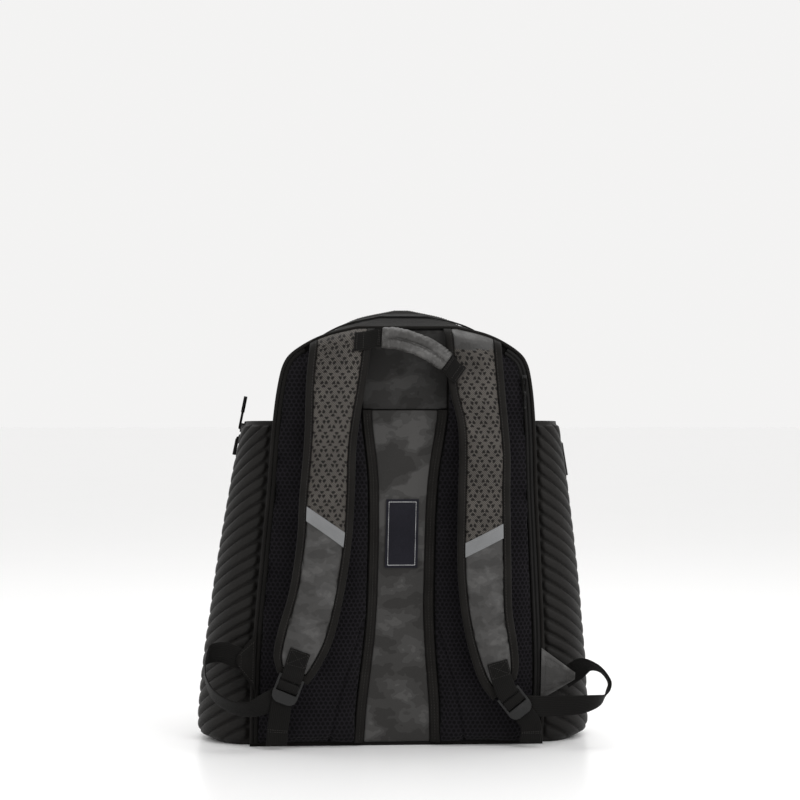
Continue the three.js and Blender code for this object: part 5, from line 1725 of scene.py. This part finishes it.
def makeLock(name):
    half, inner = lock["width"] / 2, lock["width"] / 2 - lock["rail"]
    upperSlot = lock["top"] - lock["upper"]
    lowerSlot = upperSlot - lock["slot"] - lock["middle"]
    levels = sorted([lock["top"], upperSlot, upperSlot - lock["slot"], lowerSlot, lowerSlot - lock["slot"],
                     -lock["bottom"]])
    bpy.ops.mesh.primitive_grid_add(x_subdivisions=3, y_subdivisions=5, size=2, location=(0, 0, 0),
                                    rotation=(math.radians(90), 0, 0))
    piece = begin("ladderLock" + name.capitalize())
    bpy.ops.object.mode_set(mode="OBJECT")
    columns = [-half, -inner, inner, half]
    for vertex in piece.data.vertices:  # lay the grid's lines on the frame's bars
        column = round((vertex.co.x + 1) * 1.5)
        level = round((vertex.co.z + 1) * 2.5)
        vertex.co = Vector((columns[column], -lock["thick"] / 2, levels[level])) * 0.001
    for low, high in ((levels[3], levels[4]), (levels[1], levels[2])):
        pick(piece, lambda f: abs(f.center.x) < 0.004 and 0.001 * low < f.center.z < 0.001 * high, "FACE")
        bpy.ops.mesh.delete(type="FACE")
    spots = piece.data.vertices
    pick(piece, lambda e: all(abs(spots[v].co.z - 0.001 * levels[0]) < 1e-6 for v in e.vertices), "EDGE")
    for drop, pinch in ((0.45, 0.93), (0.35, 0.8), (0.2, 0.6)):
        fall = -0.001 * lock["tab"] * drop
        bpy.ops.mesh.extrude_region_move(TRANSFORM_OT_translate={"value": (0, 0, fall)})
        bpy.ops.transform.resize(value=(pinch, 1, 1), center_override=(0, 0, 0))
    pick(piece, lambda f: True, "FACE")
    bpy.ops.mesh.extrude_region_move(TRANSFORM_OT_translate={"value": (0, 0.001 * lock["thick"], 0)})
    bars = (0.001 * (levels[4] + levels[5]) / 2, 0.001 * (levels[2] + levels[3]) / 2)
    pick(piece, lambda f: f.normal.y < -0.9 and abs(f.center.x) < 0.004
         and min(abs(f.center.z - bar) for bar in bars) < 0.0008, "FACE")
    bpy.ops.mesh.inset(thickness=0.0009, depth=0.0009)  # raised grips on the two bars
    bpy.ops.mesh.select_all(action="DESELECT")
    done(piece, lockPlastic, 0.0006, 3)
    spot, across, upward, outward = lockFrame(name)
    settle(piece, benchFrame(spot, across, -outward, upward))
    finish(piece, ["ladder_lock_" + name])


pull = {
    "width": 6.0, "slider": (8.0, 4.0, 11.0), "hang": 34.0, "tagThick": 2.2, "rim": 2.2, "boss": 1.2,
    "loopRadius": 1.9, "cordRadius": 1.2, "gripRadius": 2.2, "grip": 18.0, "gripStart": 17.0, "tuckedIn": 1.0,
    "sleeve": [("sleeve_pull_left_upper", -1, 0.73, -1, 1.12), ("sleeve_pull_left_lower", -1, 2, 1, 0.59),
               ("sleeve_pull_right", 1, 2.55, 1, 1.21)],
}


def makePull(nodeName, spot, across, inward, upward, length, cord):
    wide, deep, tall = (0.001 * s for s in pull["slider"])
    bpy.ops.mesh.primitive_cube_add(size=1, scale=(wide, deep, tall))
    slider = begin("slider")
    pick(slider, lambda f: abs(f.normal.z) > 0.9, "FACE")
    bpy.ops.transform.resize(value=(0.72, 0.8, 1), center_override=(0, 0, 0))
    pick(slider, lambda f: f.normal.y < -0.9, "FACE")
    bpy.ops.mesh.inset(thickness=0.001 * pull["rim"])
    raised = (0, -0.001 * pull["boss"], 0)
    bpy.ops.mesh.extrude_region_move(TRANSFORM_OT_translate={"value": raised})
    bpy.ops.transform.resize(value=(0.7, 1, 0.8), center_override=(0, -deep, 0))
    done(slider, pullPlastic, 0.0005, 3)
    size = 0.001 * pull["width"]
    drop = tall / 2 - size
    if cord:
        bpy.ops.mesh.primitive_torus_add(
            major_radius=0.001 * pull["loopRadius"], minor_radius=0.001 * pull["cordRadius"], major_segments=20,
            minor_segments=8, rotation=(math.radians(90), 0, 0))
        loop = begin("loop")
        pick(loop, lambda v: v.co.z < -0.0004)
        bpy.ops.transform.translate(value=(0, 0, 0.001 * (pull["gripStart"] - length)))
        done(loop, webCloth, 0, 1, 60)
        settle(loop, Matrix.Translation((0, -deep * 0.75, -drop - 0.001 * pull["tuckedIn"])))
        bpy.ops.mesh.primitive_cylinder_add(vertices=20, radius=0.001 * pull["gripRadius"],
                                            depth=0.001 * pull["grip"])
    else:
        bpy.ops.mesh.primitive_cube_add(size=1, scale=(size, 0.001 * pull["tagThick"], 0.001 * length))
        loop = None
    tag = begin("tag")
    if cord:
        pick(tag, lambda f: abs(f.normal.z) > 0.9, "FACE")
        bpy.ops.mesh.inset(thickness=0.0007)
        bpy.ops.mesh.extrude_region_move(TRANSFORM_OT_translate={"value": (0, 0, 0)})
        bpy.ops.transform.resize(value=(1, 1, 1.12), center_override=(0, 0, 0))
        bpy.ops.mesh.select_all(action="DESELECT")
        middle = -drop - 0.001 * (length - pull["grip"] / 2)
    else:
        pick(tag, lambda f: f.normal.z > 0.9, "FACE")
        bpy.ops.transform.resize(value=(0.7, 0.8, 1), center_override=(0, 0, 0))
        pick(tag, lambda f: f.normal.y < -0.9, "FACE")
        bpy.ops.mesh.inset(thickness=0.0011, depth=-0.0004)
        bpy.ops.mesh.select_all(action="DESELECT")
        middle = -drop - 0.0005 * length
    done(tag, pullPlastic, 0.0004, 3)
    settle(tag, Matrix.Translation((0, -deep * 0.75, middle)))
    bpy.ops.object.select_all(action="DESELECT")
    for part in (slider, tag, loop):
        if part:
            part.select_set(True)
    bpy.context.view_layer.objects.active = slider
    bpy.ops.object.join()
    piece = bpy.context.object
    piece.name = "".join(w.capitalize() for w in nodeName.split("_"))
    piece.select_set(False)
    settle(piece, benchFrame(spot, across, inward, upward))
    finish(piece, [nodeName])


def sleeveLean(side, z, angle, out):
    return lean(*sleevePoint(side, z, angle, out))


def makePulls():
    _, deep, tall = pull["slider"]
    for nodeName, side, drop, way, share in pull["sleeve"]:
        out = 2.0 + bag["gap"] + deep / 2
        z = sleeve["top"] - drop * tall
        spot = sleeveLean(side, z, sleeve["zipAngle"], out)
        upward = (sleeveLean(side, z + tall, sleeve["zipAngle"], out) - spot).normalized()
        around = (sleeveLean(side, z, sleeve["zipAngle"] + sleeve["zipSpread"], out) - spot).normalized()
        outward = around.cross(upward).normalized() * side
        upward = upward * way
        makePull(nodeName, spot, upward.cross(outward).normalized(), -outward, upward, share * pull["hang"],
                 nodeName != "sleeve_pull_right")
    middle = coarseEdge(back["pipingRoom"] + back["strip"]["right"] / 2)
    strip = next(p for p in middle if p[2] > mainZip["low"])
    spot = lean(strip[0], -2 * bag["gap"] - back["stripThickness"] - deep / 2, strip[1])
    up, out = Vector((0, 0, 1)), Vector((0, -1, 0))
    makePull("back_zip_pull", spot, up.cross(out), -out, up, pull["hang"], True)
    line = [p for p in outline(mainZip["place"], False)[::-1] if p[2] > mainZip["low"]]
    (x0, z0, up0), (x1, z1, _) = line[0], line[1]
    zipUp = lean(x1 - x0, 0, z1 - z0).normalized()
    zipOut = Vector((0, 1, 0)).cross(zipUp)
    spot = lean(x0, bodyY(up0, mainZip["place"]), z0)
    spot += zipOut * (2 * strap["trim"] + mainZip["thick"] + deep / 2)
    makePull("main_zip_pull", spot, zipUp.cross(zipOut).normalized(), -zipOut, zipUp, pull["hang"], True)


def coarseEdge(inset):
    line = shifted(outline(0, False), inset)
    return [(-x, z, up) for x, z, up in line[: len(line) // 2]]


for sideName in ("left", "right"):
    makeLock(sideName)
makePulls()
print("hard pieces made")
